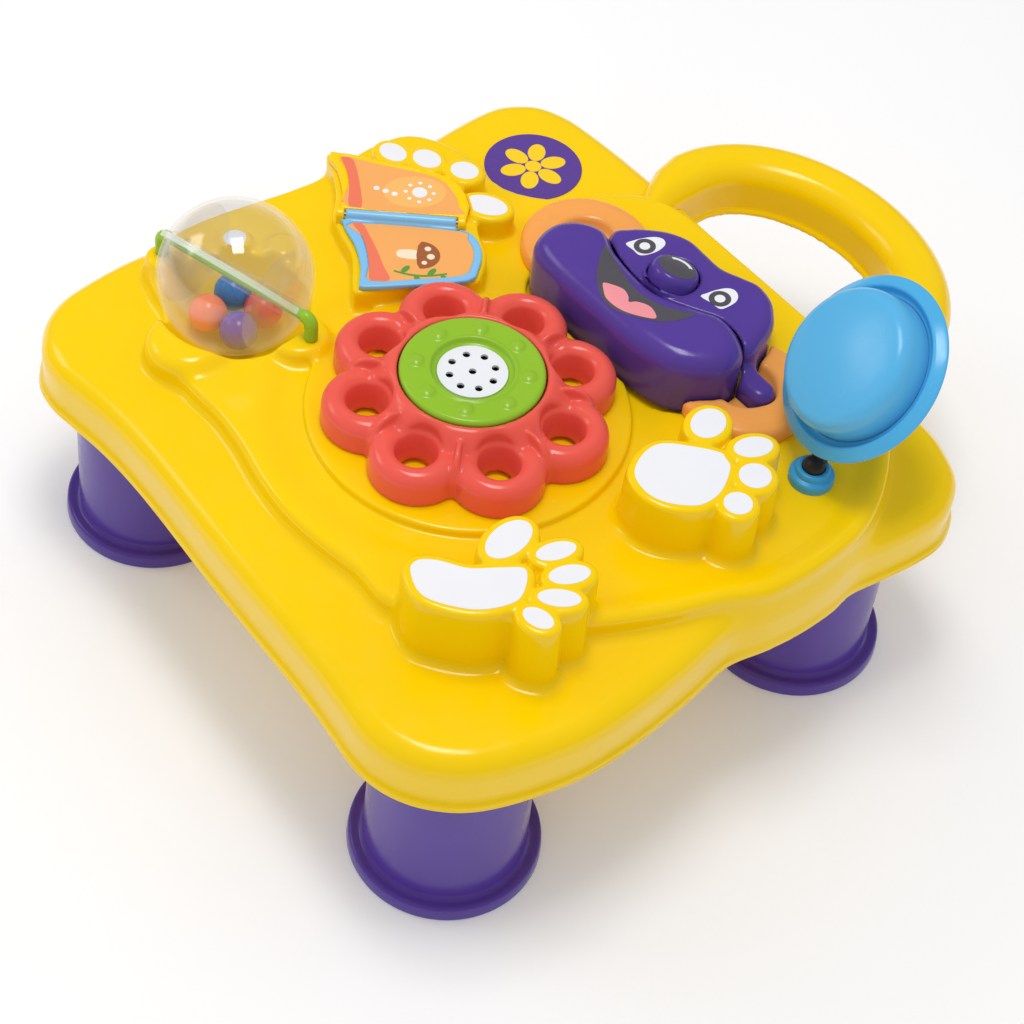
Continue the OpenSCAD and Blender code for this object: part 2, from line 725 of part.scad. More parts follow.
// A block over the battery box, grown by g sideways
module box_block(g, z0, z1) {
    flower_place() translate([-box_w / 2 - g, -box_l / 2 - g, z0])
        cube([box_w + 2 * g, box_l + 2 * g, z1 - z0]);
}

module bottom_cover() {
    slot = switch_travel + 5.6;
    color(yellow) on_deck() difference() {
        union() {
            slab(grow(deck_line, -wall - cover_gap), cover_z, cover_top);
            box_block(box_wall, cover_z, cover_top + box_h + box_wall);
        }
        box_block(0, cover_z - past, cover_top + box_h);
        box_block(3, cover_z - past, cover_z + door_t);
        leg_places() translate([0, 0, cover_z - past])
            cylinder(r = spigot_r + fix + socket_t + cover_gap, h = cover_t + 2 * past);
        for (p = boss_at) translate([p.x, p.y, cover_z - past]) {
            cylinder(r = screw_r + 2 * fix, h = cover_t + 2 * past);
            cylinder(r = head_r + 2 * fix, h = past + 1.2);
        }
        translate([switch_at.x - 1.7, switch_at.y - slot / 2, cover_z - past])
            cube([3.4, slot, cover_t + 2 * past]);
        flower_place() translate([0, door_screw_y, cover_z - past])
            cylinder(r = screw_r + fix, h = cover_t + 2 * past);
    }
}

module cover_screws() {
    color(steel) on_deck() for (p = boss_at) translate([p.x, p.y, cover_z + 1.2])
        screw(cover_t + 10);
}

module battery_door() {
    tab_t = 1.6;
    color(yellow) on_deck() difference() {
        union() {
            box_block(3 - door_gap, cover_z, cover_z + door_t);
            for (i = [-1 : 1]) flower_place()
                translate([i * cell_step - 1, -box_l / 4, cover_z + door_t - past])
                    cube([2, box_l / 2, past + rib_h]);
            flower_place() translate([-7, door_screw_y - 6, cover_z - tab_t])
                cube([14, 14, tab_t]);
        }
        flower_place() translate([0, door_screw_y, cover_z - 3])
            cylinder(r = screw_r + fix, h = 10);
    }
}

module battery_door_screw() {
    color(steel) on_deck() flower_place() translate([0, door_screw_y, cover_z - 1.6])
        screw(6);
}

module cell_places() {
    flower_place() for (i = [-1 : 1])
        translate([i * cell_step, 0, cover_z + door_t + rib_h + seat + cell_r]) children();
}

module battery_cells() {
    color("#3C8C5A") on_deck() cell_places() rotate([90, 0, 0]) {
        translate([0, 0, -cell_len / 2]) cylinder(r = cell_r, h = cell_len);
        translate([0, 0, cell_len / 2]) cylinder(r = 2.7, h = 1.3);
    }
}

module battery_contacts() {
    color(steel) on_deck() cell_places() for (s = [-1, 1])
        translate([0, s * (box_l / 2 - 0.25), 0]) {
            cube([10, 0.5, 9], center = true);
            rotate([s * 90, 0, 0]) cylinder(r = 2.4, h = s > 0 ? 3.5 : 2.2);
        }
}

module switch_body() {
    color("#303030") on_deck() translate([switch_at.x, switch_at.y, cover_top]) difference() {
        translate([-6, -10, 0]) cube([12, 20, 7]);
        translate([-2.6, -4.6 - switch_travel / 2, -past])
            cube([5.2, 9.2 + switch_travel, 5 + past]);
    }
}

module switch_knob() {
    color("#303030") on_deck() translate([switch_at.x, switch_at.y - switch_travel / 2, 0]) {
        translate([-1.4, -2.5, cover_z - 1]) cube([2.8, 5, cover_t + 1 + 4]);
        translate([-2.3, -4.3, cover_top + seat]) cube([4.6, 8.6, 4]);
    }
}

// ---- Electronics ----

module circuit_board() {
    color("#2E7D46") on_deck() difference() {
        translate([board_at.x - board_w / 2, board_at.y - board_d / 2, board_z])
            cube([board_w, board_d, board_t]);
        board_places() translate([0, 0, board_z - past])
            cylinder(r = screw_r + 2 * fix, h = board_t + 2 * past);
    }
}

module board_screws() {
    color(steel) on_deck() board_places() translate([0, 0, board_z]) screw(7);
}

module muzzle_switch() {
    color("#202020") on_deck() translate([muzzle_stem.x, muzzle_stem.y, board_z + board_t]) {
        translate([-4, -4, 0]) cube([8, 8, 2]);
        cylinder(r = 3, h = stem_low - muzzle_travel - seat - board_z - board_t);
    }
}

// ---- Flower ----

module wheel_hub() {
    color(white) on_deck() difference() {
        flower_place() difference() {
            union() {
                translate([0, 0, hub_foot_z]) cylinder(r = hub_foot_r, h = hub_foot_t);
                translate([0, 0, hub_foot_z]) cylinder(r = hub_r, h = hub_top - hub_foot_z);
            }
            translate([0, 0, ledge_z]) cylinder(r = hub_bore, h = 60);
            translate([0, 0, ring_z - wall]) cylinder(r = hub_bore - 4, h = 60);
            translate([0, 21.5, hub_foot_z - past]) cylinder(r = 2, h = 10);
        }
        hub_posts() translate([0, 0, hub_foot_z - past])
            cylinder(r = screw_r + 2 * fix, h = hub_foot_t + 2 * past);
    }
}

module hub_screws() {
    color(steel) on_deck() hub_posts() translate([0, 0, hub_foot_z]) screw(hub_foot_t + 7);
}

module petal_places() {
    for (i = [0 : petals - 1]) rotate([0, 0, petal_step * (i + 0.5)]) children();
}

// The flower's plan, shrunk by g
module petal_form(g, z0, z1) {
    translate([0, 0, z0]) linear_extrude(height = z1 - z0) {
        circle(r = finger_at + 6 - g);
        for (i = [0 : petals - 1]) rotate(petal_step * (i + 0.5))
            translate([flower_r - petal_r, 0]) circle(r = petal_r - g);
    }
}

module flower_wheel() {
    dip_z = hub_top - seat;
    dip_r = button_r + 1.5;
    color(red) on_deck() flower_place() difference() {
        union() {
            difference() {
                union() {
                    petal_form(0, wheel_z + past, wheel_top - 4);
                    petal_form(2, wheel_z + past, wheel_top - 1.2);
                    petal_form(5, wheel_z + past, wheel_top);
                }
                petal_form(wheel_wall, wheel_z, dip_z - wheel_wall);
                difference() {
                    petal_form(5 + wheel_wall / 2, wheel_z, wheel_top - wheel_wall);
                    cylinder(r = dip_r + wheel_wall, h = wheel_top);
                }
                translate([0, 0, dip_z]) cylinder(r = dip_r, h = 20);
            }
            petal_places() translate([finger_at, 0, wheel_z + 4])
                cylinder(r = finger_r + wheel_wall, h = flower_h - 6);
            translate([0, 0, wheel_z]) cylinder(r = hub_r + 3, h = dip_z - wheel_z);
            for (i = [0 : petals - 1]) rotate([0, 0, petal_step * i]) intersection() {
                translate([dip_r + 11, fin_t / 2, wheel_top + 3 - fin_r]) rotate([90, 0, 0])
                    cylinder(r = fin_r, h = fin_t);
                translate([dip_r, -fin_t, wheel_top - past]) cube([30, 2 * fin_t, 20]);
            }
        }
        cylinder(r = hub_r + run_fit, h = 2 * wheel_top);
        petal_places() translate([finger_at, 0, 0]) {
            cylinder(r = finger_r, h = 2 * wheel_top);
            translate([0, 0, wheel_top - 3]) cylinder(r1 = finger_r, r2 = finger_r + 4, h = 4);
        }
    }
}

module retaining_ring() {
    color(white) on_deck() flower_place() translate([0, 0, hub_top])
        tube(hub_r + 5, hub_bore, retainer_t);
}

module music_button() {
    color(green) on_deck() flower_place() difference() {
        union() {
            puck([0, 0], button_r, button_z, button_top, 2.5);
            translate([0, 0, guide_low]) cylinder(r = guide_r, h = button_z + past - guide_low);
            for (a = [0 : 45 : 315]) rotate([0, 0, a])
                translate([button_r - 8.5, 0, button_top + 1.8 - bump_r]) sphere(r = bump_r);
        }
        difference() {
            translate([0, 0, button_z - past])
                cylinder(r = button_r - guide_wall, h = button_h - 2 + past);
            cylinder(r = guide_r, h = 2 * button_top);
        }
        translate([0, 0, guide_low - past])
            cylinder(r = guide_r - guide_wall, h = grille_z - 1.4 + past - guide_low);
        translate([0, 0, button_z]) cylinder(r = grille_r - guide_wall, h = 20);
        translate([0, 0, grille_z]) cylinder(r = grille_r + fix, h = 20);
        translate([0, 0, grille_z + grille_t + 0.4])
            cylinder(r1 = grille_r + fix, r2 = grille_r + fix + 5, h = 3);
    }
}

module button_spring() {
    wire = 0.6;
    color(steel) on_deck() flower_place() translate([0, 0, ledge_z])
        coil(hub_bore - 1 - wire, wire, guide_low - ledge_z, 4);
}

module speaker() {
    color("#404040") on_deck() flower_place() translate([0, 0, ring_z - wall]) rotate_extrude()
        polygon([[0, 0], [11, 0], [11, 6], [14, 6], [19, 12], [19, 14], [17, 14], [12, 9],
            [0, 8]]);
}

module speaker_grille() {
    color(white) on_deck() flower_place() translate([0, 0, grille_z]) difference() {
        cylinder(r = grille_r, h = grille_t);
        translate([0, 0, -past]) cylinder(r = grille_hole_r, h = grille_t + 2 * past);
        for (a = [22.5 : 45 : 360]) rotate([0, 0, a]) translate([grille_r - 6.6, 0, -past])
            cylinder(r = grille_hole_r, h = grille_t + 2 * past);
    }
}

// ---- Face ----

module on_nose() {
    translate(nose_base) rotate([-nose_lean, 0, 0]) children();
}

module arms(g, low) {
    for (s = [-1, 1]) {
        translate([face_at.x + s * arm_x, arm_y, low])
            cylinder(r = arm_r + g, h = platform_z + arm_h + g - low);
        translate([face_at.x + s * (arm_x - arm_l / 2) - arm_l / 2, arm_y - arm_r - g, low])
            cube([arm_l, 2 * (arm_r + g), platform_z + arm_h + g - low]);
    }
}

module head_bosses(r, low, high) {
    for (i = [0, 1]) translate([face_screw_at[i].x, face_screw_at[i].y, low])
        cylinder(r = r, h = high - low);
}

module face_head() {
    low = platform_z - past;
    color(purple) on_deck() difference() {
        union() {
            difference() {
                union() {
                    loaf(head_line, platform_z, head_top, face_edge);
                    arms(0, platform_z);
                }
                loaf(grow(head_line, -face_wall), low, head_top - face_wall, face_edge);
                arms(-face_wall, low);
            }
            intersection() {
                on_nose() translate([0, 0, -nose_floor - nose_floor_t])
                    cylinder(r = nose_r + 3, h = 20);
                slab(head_line, platform_z, head_top + 2);
            }
            for (s = [-1, 1]) on_nose() translate([s * peg_at, 0, -nose_board]) {
                cylinder(r = 2.5, h = nose_board - nose_floor - past);
                translate([0, 0, -nose_board_t - 0.6]) cylinder(r = peg_r, h = 5);
            }
            head_bosses(boss_r, platform_z, head_top - face_wall / 2);
        }
        slab(grow(muzzle_line, shell_gap), low, head_top + 20);
        on_nose() {
            translate([0, 0, -nose_floor]) cylinder(r = nose_bore, h = 40);
            translate([0, 0, -nose_floor - nose_floor_t - past])
                cylinder(r = nose_stem_r + run_fit, h = nose_floor_t + 2 * past);
        }
        head_bosses(screw_r + fix, low, platform_z + thread_len);
    }
}

module face_screws() {
    color(steel) on_deck() {
        for (i = [0, 1]) translate([face_screw_at[i].x, face_screw_at[i].y, platform_z - wall])
            screw(wall + head_thread);
        for (i = [2, 3]) translate([face_screw_at[i].x, face_screw_at[i].y, platform_z - wall])
            screw(wall + ear_thread);
    }
}

module face_muzzle() {
    groove_z = guide_bottom - seat - clip_t;
    color(purple) on_deck() difference() {
        union() {
            difference() {
                loaf(muzzle_line, muzzle_low, muzzle_top, face_edge + past);
                loaf(grow(muzzle_line, -face_wall), muzzle_low - past,
                    muzzle_top - face_wall, face_edge + past);
            }
            translate([muzzle_stem.x, muzzle_stem.y, stem_low])
                cylinder(r = stem_r, h = muzzle_top - past - stem_low);
        }
        slab(smile_line, muzzle_top - label_t, muzzle_top + past);
        translate([muzzle_stem.x, muzzle_stem.y, groove_z]) tube(stem_r + past, stem_r - past, clip_t);
    }
}

module muzzle_clip() {
    color(steel) on_deck()
        translate([muzzle_stem.x, muzzle_stem.y, guide_bottom - seat - clip_t])
            tube(stem_r + 2, stem_r - past, clip_t);
}

module muzzle_spring() {
    wire = 0.8;
    color(steel) on_deck() translate([muzzle_stem.x, muzzle_stem.y, guide_top])
        coil(stem_r + 1 + wire, wire, muzzle_top - face_wall - guide_top, 6);
}

module nose_button() {
    dome_r = 27;
    color(purple) on_deck() on_nose() difference() {
        union() {
            difference() {
                intersection() {
                    translate([0, 0, -4]) cylinder(r = nose_r, h = nose_h + 4);
                    translate([0, 0, nose_h + 1.5 - dome_r]) sphere(r = dome_r);
                }
                translate([0, 0, -5]) cylinder(r = nose_r - 2, h = nose_h + 2);
            }
            translate([0, 0, -nose_stem_low])
                cylinder(r = nose_stem_r, h = nose_stem_low + nose_h - 2);
        }
        translate([0, 0, nose_h - label_t]) cylinder(r = 2 * nose_r, h = 10);
    }
}

module nose_spring() {
    wire = 0.7;
    color(steel) on_deck() on_nose() translate([0, 0, -nose_floor])
        coil(nose_stem_r + 1 + wire, wire, nose_floor + nose_h - 3, 5);
}

module nose_switch() {
    color("#202020") on_deck() on_nose() translate([0, 0, -nose_board - nose_board_t]) {
        difference() {
            translate([-15, -5, 0]) cube([30, 10, nose_board_t]);
            for (s = [-1, 1]) translate([s * peg_at, 0, -past])
                cylinder(r = peg_r + fix / 2, h = nose_board_t + 2 * past);
        }
        translate([0, 0, nose_board_t]) cylinder(r = 3, h = nose_key_h);
    }
}

// The ear's round form, or its hollow when g is the wall
module ear_form(x, g) {
    low = g > 0 ? -past : 0;
    translate([x, ear_mid.y, platform_z]) rotate_extrude() polygon([[0, low], [ear_r - g, low],
        [ear_r - g, ear_h - 5 - g / 2], [ear_r - 1.5 - g, ear_h - 1.8 - g / 2],
        [ear_r - 5 - g / 2, ear_h - g], [24, ear_h - g], [20, ear_h - 2.5 - g],
        [18, ear_h - 6 - g], [0, ear_h - 7 - g]]);
}

// What the ears give way to
module ear_room(g) {
    slab(grow(muzzle_line, shell_gap + g), platform_z - 2 * past, platform_z + 40);
    slab(grow(head_line, shell_gap + g), platform_z - 2 * past, platform_z + 40);
    arms(0.4 + g, platform_z - 2 * past);
}

module ear(s) {
    x = ear_mid.x + s * ear_off;
    thin = 2.4;
    hole_x = ear_mid.x + s * (ear_off + ear_screw.x);
    hole_y = ear_mid.y + ear_screw.y;
    color(orange) on_deck() difference() {
        union() {
            difference() {
                ear_form(x, 0);
                difference() {
                    ear_form(x, thin);
                    ear_room(thin);
                }
            }
            translate([hole_x, hole_y, platform_z]) cylinder(r = boss_r, h = ear_h - 1.5);
        }
        ear_room(0);
        translate([hole_x, hole_y, platform_z - past])
            cylinder(r = screw_r + fix, h = past + ear_thread + fix);
    }
}
module left_ear() { ear(-1); }
module right_ear() { ear(1); }

module eye_labels() {
    color(white) on_deck() for (c = eye_ovals) slab(oval(c), head_top, head_top + label_t);
}

module smile_label() {
    color(grey) on_deck() slab(smile_line, muzzle_top - label_t, muzzle_top);
}

module nose_label() {
    color(grey) on_deck() on_nose() translate([0, 0, nose_h - label_t])
        cylinder(r = nose_r - 3, h = label_t);
}

// ---- Globe ----

module in_globe() {
    translate([globe_at.x, globe_at.y, globe_z]) rotate([0, 0, axle_turn])
        rotate([globe_tilt, 0, 0]) children();
}

// Room for beads between two dividers, open at the parting plane
module chamber(x0, x1) {
    intersection() {
        sphere(r = globe_r - globe_wall);
        translate([x0, -globe_r, -past]) cube([x1 - x0, 2 * globe_r, 2 * globe_r]);
    }
}

// The half of the globe above its parting plane
module globe_half() {
    reach = globe_r + 3;
    sleeve = reach - divider_x;
    near = divider_x - divider_t / 2;
    difference() {
        union() {
            difference() {
                union() {
                    intersection() {
                        sphere(r = globe_r);
                        translate([-globe_r, -globe_r, 0]) cube([2 * globe_r, 2 * globe_r, globe_r]);
                    }
                    tube(globe_r + flange_w, globe_r - past, flange_t);
                }
                chamber(-globe_r, -near - divider_t);
                chamber(-near, near);
                chamber(near + divider_t, globe_r);
            }
            intersection() {
                translate([-reach, -reach, 0]) cube(2 * reach);
                for (x = [-reach, divider_x]) translate([x, 0, 0]) rotate([0, 90, 0])
                    cylinder(r = sleeve_r, h = sleeve);
            }
        }
        rotate([0, 90, 0]) translate([0, 0, -2 * reach])
            cylinder(r = axle_r + run_fit, h = 4 * reach);
    }
}

module globe_front_half() {
    color(clear) on_deck() in_globe() rotate([180, 0, 0]) globe_half();
}
module globe_back_half() {
    color(clear) on_deck() in_globe() globe_half();
}

module globe_axle() {
    low = support_z - socket_depth + seat;
    color(green) on_deck() {
        translate([globe_at.x, globe_at.y, globe_z]) rotate([0, 0, axle_turn])
            translate([-axle_end, 0, 0]) rotate([0, 90, 0]) cylinder(r = axle_r, h = 2 * axle_end);
        at_axle_ends() {
            translate([0, 0, low]) cylinder(r = axle_r, h = globe_z - low);
            translate([0, 0, globe_z]) sphere(r = axle_r);
        }
    }
}

// Four beads lie side by side in the bottom of the globe
module bead(i) {
    side = bead_r + 0.15;
    angle = 45 + 90 * i + axle_turn;
    sag = sqrt(pow(globe_r - globe_wall - side, 2) - 2 * side * side);
    on_deck() translate([globe_at.x, globe_at.y, globe_z]) rotate([0, 0, angle])
        translate([side * sqrt(2), 0, -sag]) sphere(r = bead_r);
}
module red_bead() { color("#E02828") bead(0); }
module blue_bead() { color("#1E7FC0") bead(1); }
module orange_bead() { color(orange) bead(2); }
module purple_bead() { color("#7A4FA0") bead(3); }

// ---- Book ----

module book_leaf() {
    color(yellow) on_deck() in_book() difference() {
        slab(leaf_line, book_z, leaf_top);
        slab(leaf_card_line, leaf_top - label_t, leaf_top + past);
    }
}

module leaf_card() {
    color(card) on_deck() in_book() slab(leaf_card_line, leaf_top - label_t, leaf_top);
}

module page_frame() {
    color(pale_blue) on_deck() in_book() difference() {
        union() {
            slab(page_line, page_z, page_z + page_t);
            translate([pin_u, seat, pin_z]) rotate([-90, 0, 0])
                cylinder(r = barrel_r, h = barrel_len - 2 * seat);
        }
        slab(window_line, page_z - past, page_z + window_depth);
        slab(window_line, page_z + page_t - window_depth, page_z + page_t + past);
        translate([pin_u, -past, pin_z]) rotate([-90, 0, 0])
            cylinder(r = pin_r + run_fit, h = barrel_len + 2 * past);
    }
}

module page_cards() {
    color(card) on_deck() in_book() {
        slab(window_line, page_z + window_depth - label_t, page_z + window_depth);
        slab(window_line, page_z + page_t - window_depth,
            page_z + page_t - window_depth + label_t);
    }
}

module book_hinge_pin() {
    color(steel) on_deck() in_book() translate([pin_u, -lug_w, pin_z]) rotate([-90, 0, 0])
        cylinder(r = pin_r, h = barrel_len + 2 * lug_w);
}

// ---- Dish ----

module in_dish() {
    translate([dish_at.x, dish_at.y, dish_z]) rotate([0, dish_lean, dish_look]) children();
}

// +Z runs up the dish's spring, from the middle of its boot
module on_spring() {
    translate(foot_point) rotate([0, spring_tilt, spring_turn]) children();
}

module dish_rim() {
    ridge_r = dish_r - 5.5;
    color(blue) on_deck() difference() {
        in_dish() {
            rotate_extrude() polygon([[0, -4], [cap_r, -4], [ridge_r + 2, -1.5], [dish_r, -2],
                [dish_r, 0], [ridge_r + 3, 0.8], [ridge_r, 2.2], [ridge_r - 3, 0.8],
                [cap_r + 0.4, 0.6], [cap_r + 0.4, -1.4], [0, -1.4]]);
            translate([0, 0, -hub_back - 7]) cylinder(r = 10, h = hub_back + 4);
        }
        on_spring() translate([0, 0, 20]) cylinder(r = dish_spring_r + fix / 2, h = norm(spring_way) - 20);
    }
}

// The cap's profile, moved inwards by g
function cap_line(g) = [[cap_r - g, -1.4], [cap_r - g, cap_h - 8], [cap_r - 1.5 - g, cap_h - 4.6],
    [cap_r - 5 - g / 2, cap_h - 2.4 - g], [cap_r - 20, cap_h - 0.6 - g], [0, cap_h - g]];

module dish_cap() {
    inside = cap_line(plate_t);
    color("#6EBEEB") on_deck() in_dish() rotate_extrude()
        polygon(concat(cap_line(0), [for (i = [len(inside) - 1 : -1 : 0]) inside[i]]));
}

module dish_spring() {
    color("#4A3A34") on_deck() on_spring() translate([0, 0, spring_z])
        coil(spring_mean, spring_wire, norm(spring_way) - spring_z, spring_turns);
}

module dish_boot() {
    color("#303034") on_deck() translate(foot_point) sphere(r = boot_r);
}

module dish_base() {
    color(blue) on_deck() translate([dish_foot.x, dish_foot.y, 0]) difference() {
        union() {
            puck([0, 0], base_r, platform_z, platform_z + 6, 1.5);
            puck([0, 0], collar_r, platform_z, platform_z + 10, 1.5);
            translate([0, 0, platform_z - 7]) cylinder(r = 5, h = 8);
        }
        translate([0, 0, boot_z]) sphere(r = boot_r + seat);
    }
}

// ---- Labels ----

module hand_print_label() {
    color(white) on_deck() for (p = hand_prints)
        slab(p, deck_z + hand_h, deck_z + hand_h + label_t);
}

module paw_print_label() {
    color(white) on_deck() for (p = paw_prints)
        slab(p, platform_z + paw_h, platform_z + paw_h + label_t);
}

module toe_labels() {
    color(white) on_deck() {
        difference() {
            for (p = toe_prints) slab(p, platform_z + toe_h, platform_z + toe_h + label_t);
            leaf_room();
        }
        translate([small_toe[0].x, small_toe[0].y, platform_z + small_toe_h])
            cylinder(r = small_toe[1], h = label_t);
    }
}

module round_badge() {
    color(purple) on_deck() translate([badge_at.x, badge_at.y, deck_z])
        cylinder(r = badge_r, h = badge_h);
}

table_top();
carry_handle();
bottom_cover();
leg_front_left();
leg_front_right();
leg_rear_left();
leg_rear_right();
cover_screws();
battery_door();
battery_door_screw();
battery_cells();
battery_contacts();
switch_body();
switch_knob();
circuit_board();
muzzle_switch();
board_screws();
wheel_hub();
hub_screws();
flower_wheel();
retaining_ring();
music_button();
button_spring();
speaker();
speaker_grille();
face_head();
face_screws();
face_muzzle();
muzzle_spring();
muzzle_clip();
nose_button();
nose_spring();
nose_switch();
left_ear();
right_ear();
eye_labels();
smile_label();
nose_label();
globe_front_half();
globe_back_half();
globe_axle();
orange_bead();
purple_bead();
blue_bead();
red_bead();
book_leaf();
leaf_card();
page_frame();
page_cards();
book_hinge_pin();
dish_rim();
dish_cap();
dish_spring();
dish_boot();
dish_base();
hand_print_label();
paw_print_label();
toe_labels();
round_badge();
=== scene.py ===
import math

import bmesh
import bpy
import numpy as np
from mathutils import Matrix, Vector
from mathutils.bvhtree import BVHTree
from mathutils.geometry import tessellate_polygon


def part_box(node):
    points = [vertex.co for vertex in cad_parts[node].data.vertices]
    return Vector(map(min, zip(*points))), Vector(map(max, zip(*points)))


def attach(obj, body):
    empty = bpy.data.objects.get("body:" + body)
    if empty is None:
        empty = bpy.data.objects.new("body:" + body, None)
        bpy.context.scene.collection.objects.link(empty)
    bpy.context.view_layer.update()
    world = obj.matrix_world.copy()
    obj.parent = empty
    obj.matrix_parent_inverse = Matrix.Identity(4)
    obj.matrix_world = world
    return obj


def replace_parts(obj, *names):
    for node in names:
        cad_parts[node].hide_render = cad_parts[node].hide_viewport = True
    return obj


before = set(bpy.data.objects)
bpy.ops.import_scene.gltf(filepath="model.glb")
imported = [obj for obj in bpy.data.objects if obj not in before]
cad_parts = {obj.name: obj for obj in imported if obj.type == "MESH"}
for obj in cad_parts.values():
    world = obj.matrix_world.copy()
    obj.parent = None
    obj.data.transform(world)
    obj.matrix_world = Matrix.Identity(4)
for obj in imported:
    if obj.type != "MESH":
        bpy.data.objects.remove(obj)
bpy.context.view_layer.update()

# Lengths are in millimetres and places are measured from the deck's middle, as in the part's
# source. MM and SHIFT turn them into the frame's metres when a piece is made.
MM = 0.001


def box_mm(node):
    """A CAD node's lowest and highest corners in millimetres, from the deck's middle."""
    return [np.array(corner) / MM - [0, SHIFT, 0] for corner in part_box(node)]


def middle(node):
    low, high = box_mm(node)
    return (low + high) / 2


SHIFT = 0
SHIFT = (middle("leg_front_left")[1] + middle("leg_rear_right")[1]) / 2

# ---- Sizes taken from the frame ----
LEG_H = box_mm("table_top")[0][2]
DECK_Z = box_mm("round_badge")[0][2]
PLATFORM_Z = box_mm("left_ear")[0][2]
RING_Z = PLATFORM_Z + 2
FLOWER = middle("flower_wheel")[:2]
WHEEL_LOW = box_mm("flower_wheel")[0][2]
BUTTON_LOW, BUTTON_TOP = (box_mm("music_button")[k][2] for k in (0, 1))
BUTTON_R = (box_mm("music_button")[1][0] - box_mm("music_button")[0][0]) / 2
HAND_TOP = box_mm("hand_print_label")[0][2]
PAW_TOP = box_mm("paw_print_label")[0][2]
TOE_TOP = box_mm("toe_labels")[1][2] - 0.3
SMALL_TOE_TOP = box_mm("toe_labels")[0][2]
BOOK_Z = box_mm("book_leaf")[0][2]
LEAF_TOP = box_mm("book_leaf")[1][2]
MUZZLE_LOW = PLATFORM_Z - 1.5
MUZZLE_TOP = box_mm("face_muzzle")[1][2]
HEAD_TOP = box_mm("eye_labels")[0][2]
HANDLE_LOW, HANDLE_TOP = (box_mm("carry_handle")[k][2] for k in (0, 1))
HANDLE_BACK = box_mm("carry_handle")[1][1]
PAGE_Z, PAGE_T = BOOK_Z + 0.3, 3.6
BADGE = middle("round_badge")

# ---- Plan outlines, the same as the part's source ----
BACK = 208
FACE = np.array([13, 100])
FACE_GAP, MUZZLE_STEM = 1.2, FACE + [0, -16]
NOSE_AT, NOSE_LEAN = (*(FACE + [-1.5, 21]), HEAD_TOP - 5), 18
GLOBE = np.array([-133, -84, DECK_Z + 34])
GLOBE_R, WELL_R = 45.5, 49.1
AXLE_TURN, AXLE_END, AXLE_R, GLOBE_TILT = 17, 55, 3, -53
BOOK_AT, BOOK_TURN = (-150, 5.6), -39.2
DISH_FOOT, DISH_AT, DISH_Z = (155, 106), (146, 137), PLATFORM_Z + 63
DISH_LEAN, DISH_LOOK, DISH_R, CAP_R = 50.5, -111, 54, 42
LIP_W, LIP_H, WALL, BORDER = 3, 5, 2.8, 3.5

DECK_LINE = [
    (0, -186.5), (45, -187.5), (90, -188.5), (118, -190.5), (140, -192.5), (156.5, -190.5),
    (171.5, -184.5), (184.5, -174.5), (195.5, -160.5), (203.5, -141.5), (209.5, -117.5),
    (212.5, -96), (212.5, -75), (210.5, -50), (206.5, -20), (201.5, 10), (205.5, 36), (207.5, 60),
    (206.5, 84), (203.5, 102), (206.5, 128), (208.5, 150), (207.5, 168), (200.5, 183),
    (191.5, 193), (177.5, 200), (159.5, 205), (120, 207), (60, 208), (0, 207), (-60, 208),
    (-120, 207), (-159.5, 204), (-177.5, 200), (-191.5, 193), (-200.5, 183), (-207.5, 168),
    (-208.5, 150), (-206.5, 128), (-203.5, 102), (-206.5, 84), (-207.5, 60), (-205.5, 36),
    (-202.5, 12), (-206.5, -20), (-211.5, -55), (-213.5, -90), (-213.5, -115), (-210.5, -140),
    (-206.5, -157.5), (-198.5, -171.5), (-187.5, -181.5), (-174.5, -188.5), (-158.5, -190.5),
    (-141.5, -188.5), (-116, -185), (-87, -183.5), (-54, -184)]
PLATFORM_LINE = [
    (-101, -141), (-69, -140), (-44, -142), (-16, -147), (12, -149), (40, -146), (66, -141),
    (92, -140), (110, -122), (132, -100), (150.5, -84), (164.5, -64), (174.5, -44), (184.5, -20),
    (193.5, 8), (203.5, 32), (205.5, 60), (203.5, 86), (199.5, 106), (190.5, 127), (172.5, 152),
    (150.5, 172), (112.5, 192), (0, 194), (-62, 190), (-88, 168), (-102, 136), (-130, 112),
    (-172.5, 110), (-201.5, 92), (-205.5, 60), (-198.5, 14), (-205.5, -60), (-199.5, -98),
    (-176.5, -114), (-150.5, -119), (-128.5, -132)]
MUZZLE_LINE = [
    (-73, -12), (-66, -30), (-46, -35.5), (-8, -35.5), (31, -34), (57, -26), (73, -6),
    (71, 12), (57, 21), (41, 22), (25, 13), (7, 4), (-11, 3), (-33, 6), (-51, 12), (-66, 4)]
HEAD_LINE = [
    (-53, 18), (-35, -2), (5, -6), (50, 8), (68, 20), (64, 37), (58, 49), (50, 57), (42, 62),
    (30, 64), (19, 60), (7, 55), (-7, 55), (-21, 55), (-34, 49), (-44, 39), (-50, 30)]
PAW_LINE = [
    (131.9, 51), (121, 42), (109.5, 29), (109, 16), (117, 2), (130, -2), (141.5, 1),
    (151, 9.5), (156, 19), (154.5, 33), (145, 48), (138, 51)]
PALM_LINE = [
    (134, -84), (126, -94), (117, -108), (104, -118), (98, -127), (102, -135), (120, -139),
    (141, -123), (149, -103), (144, -91)]
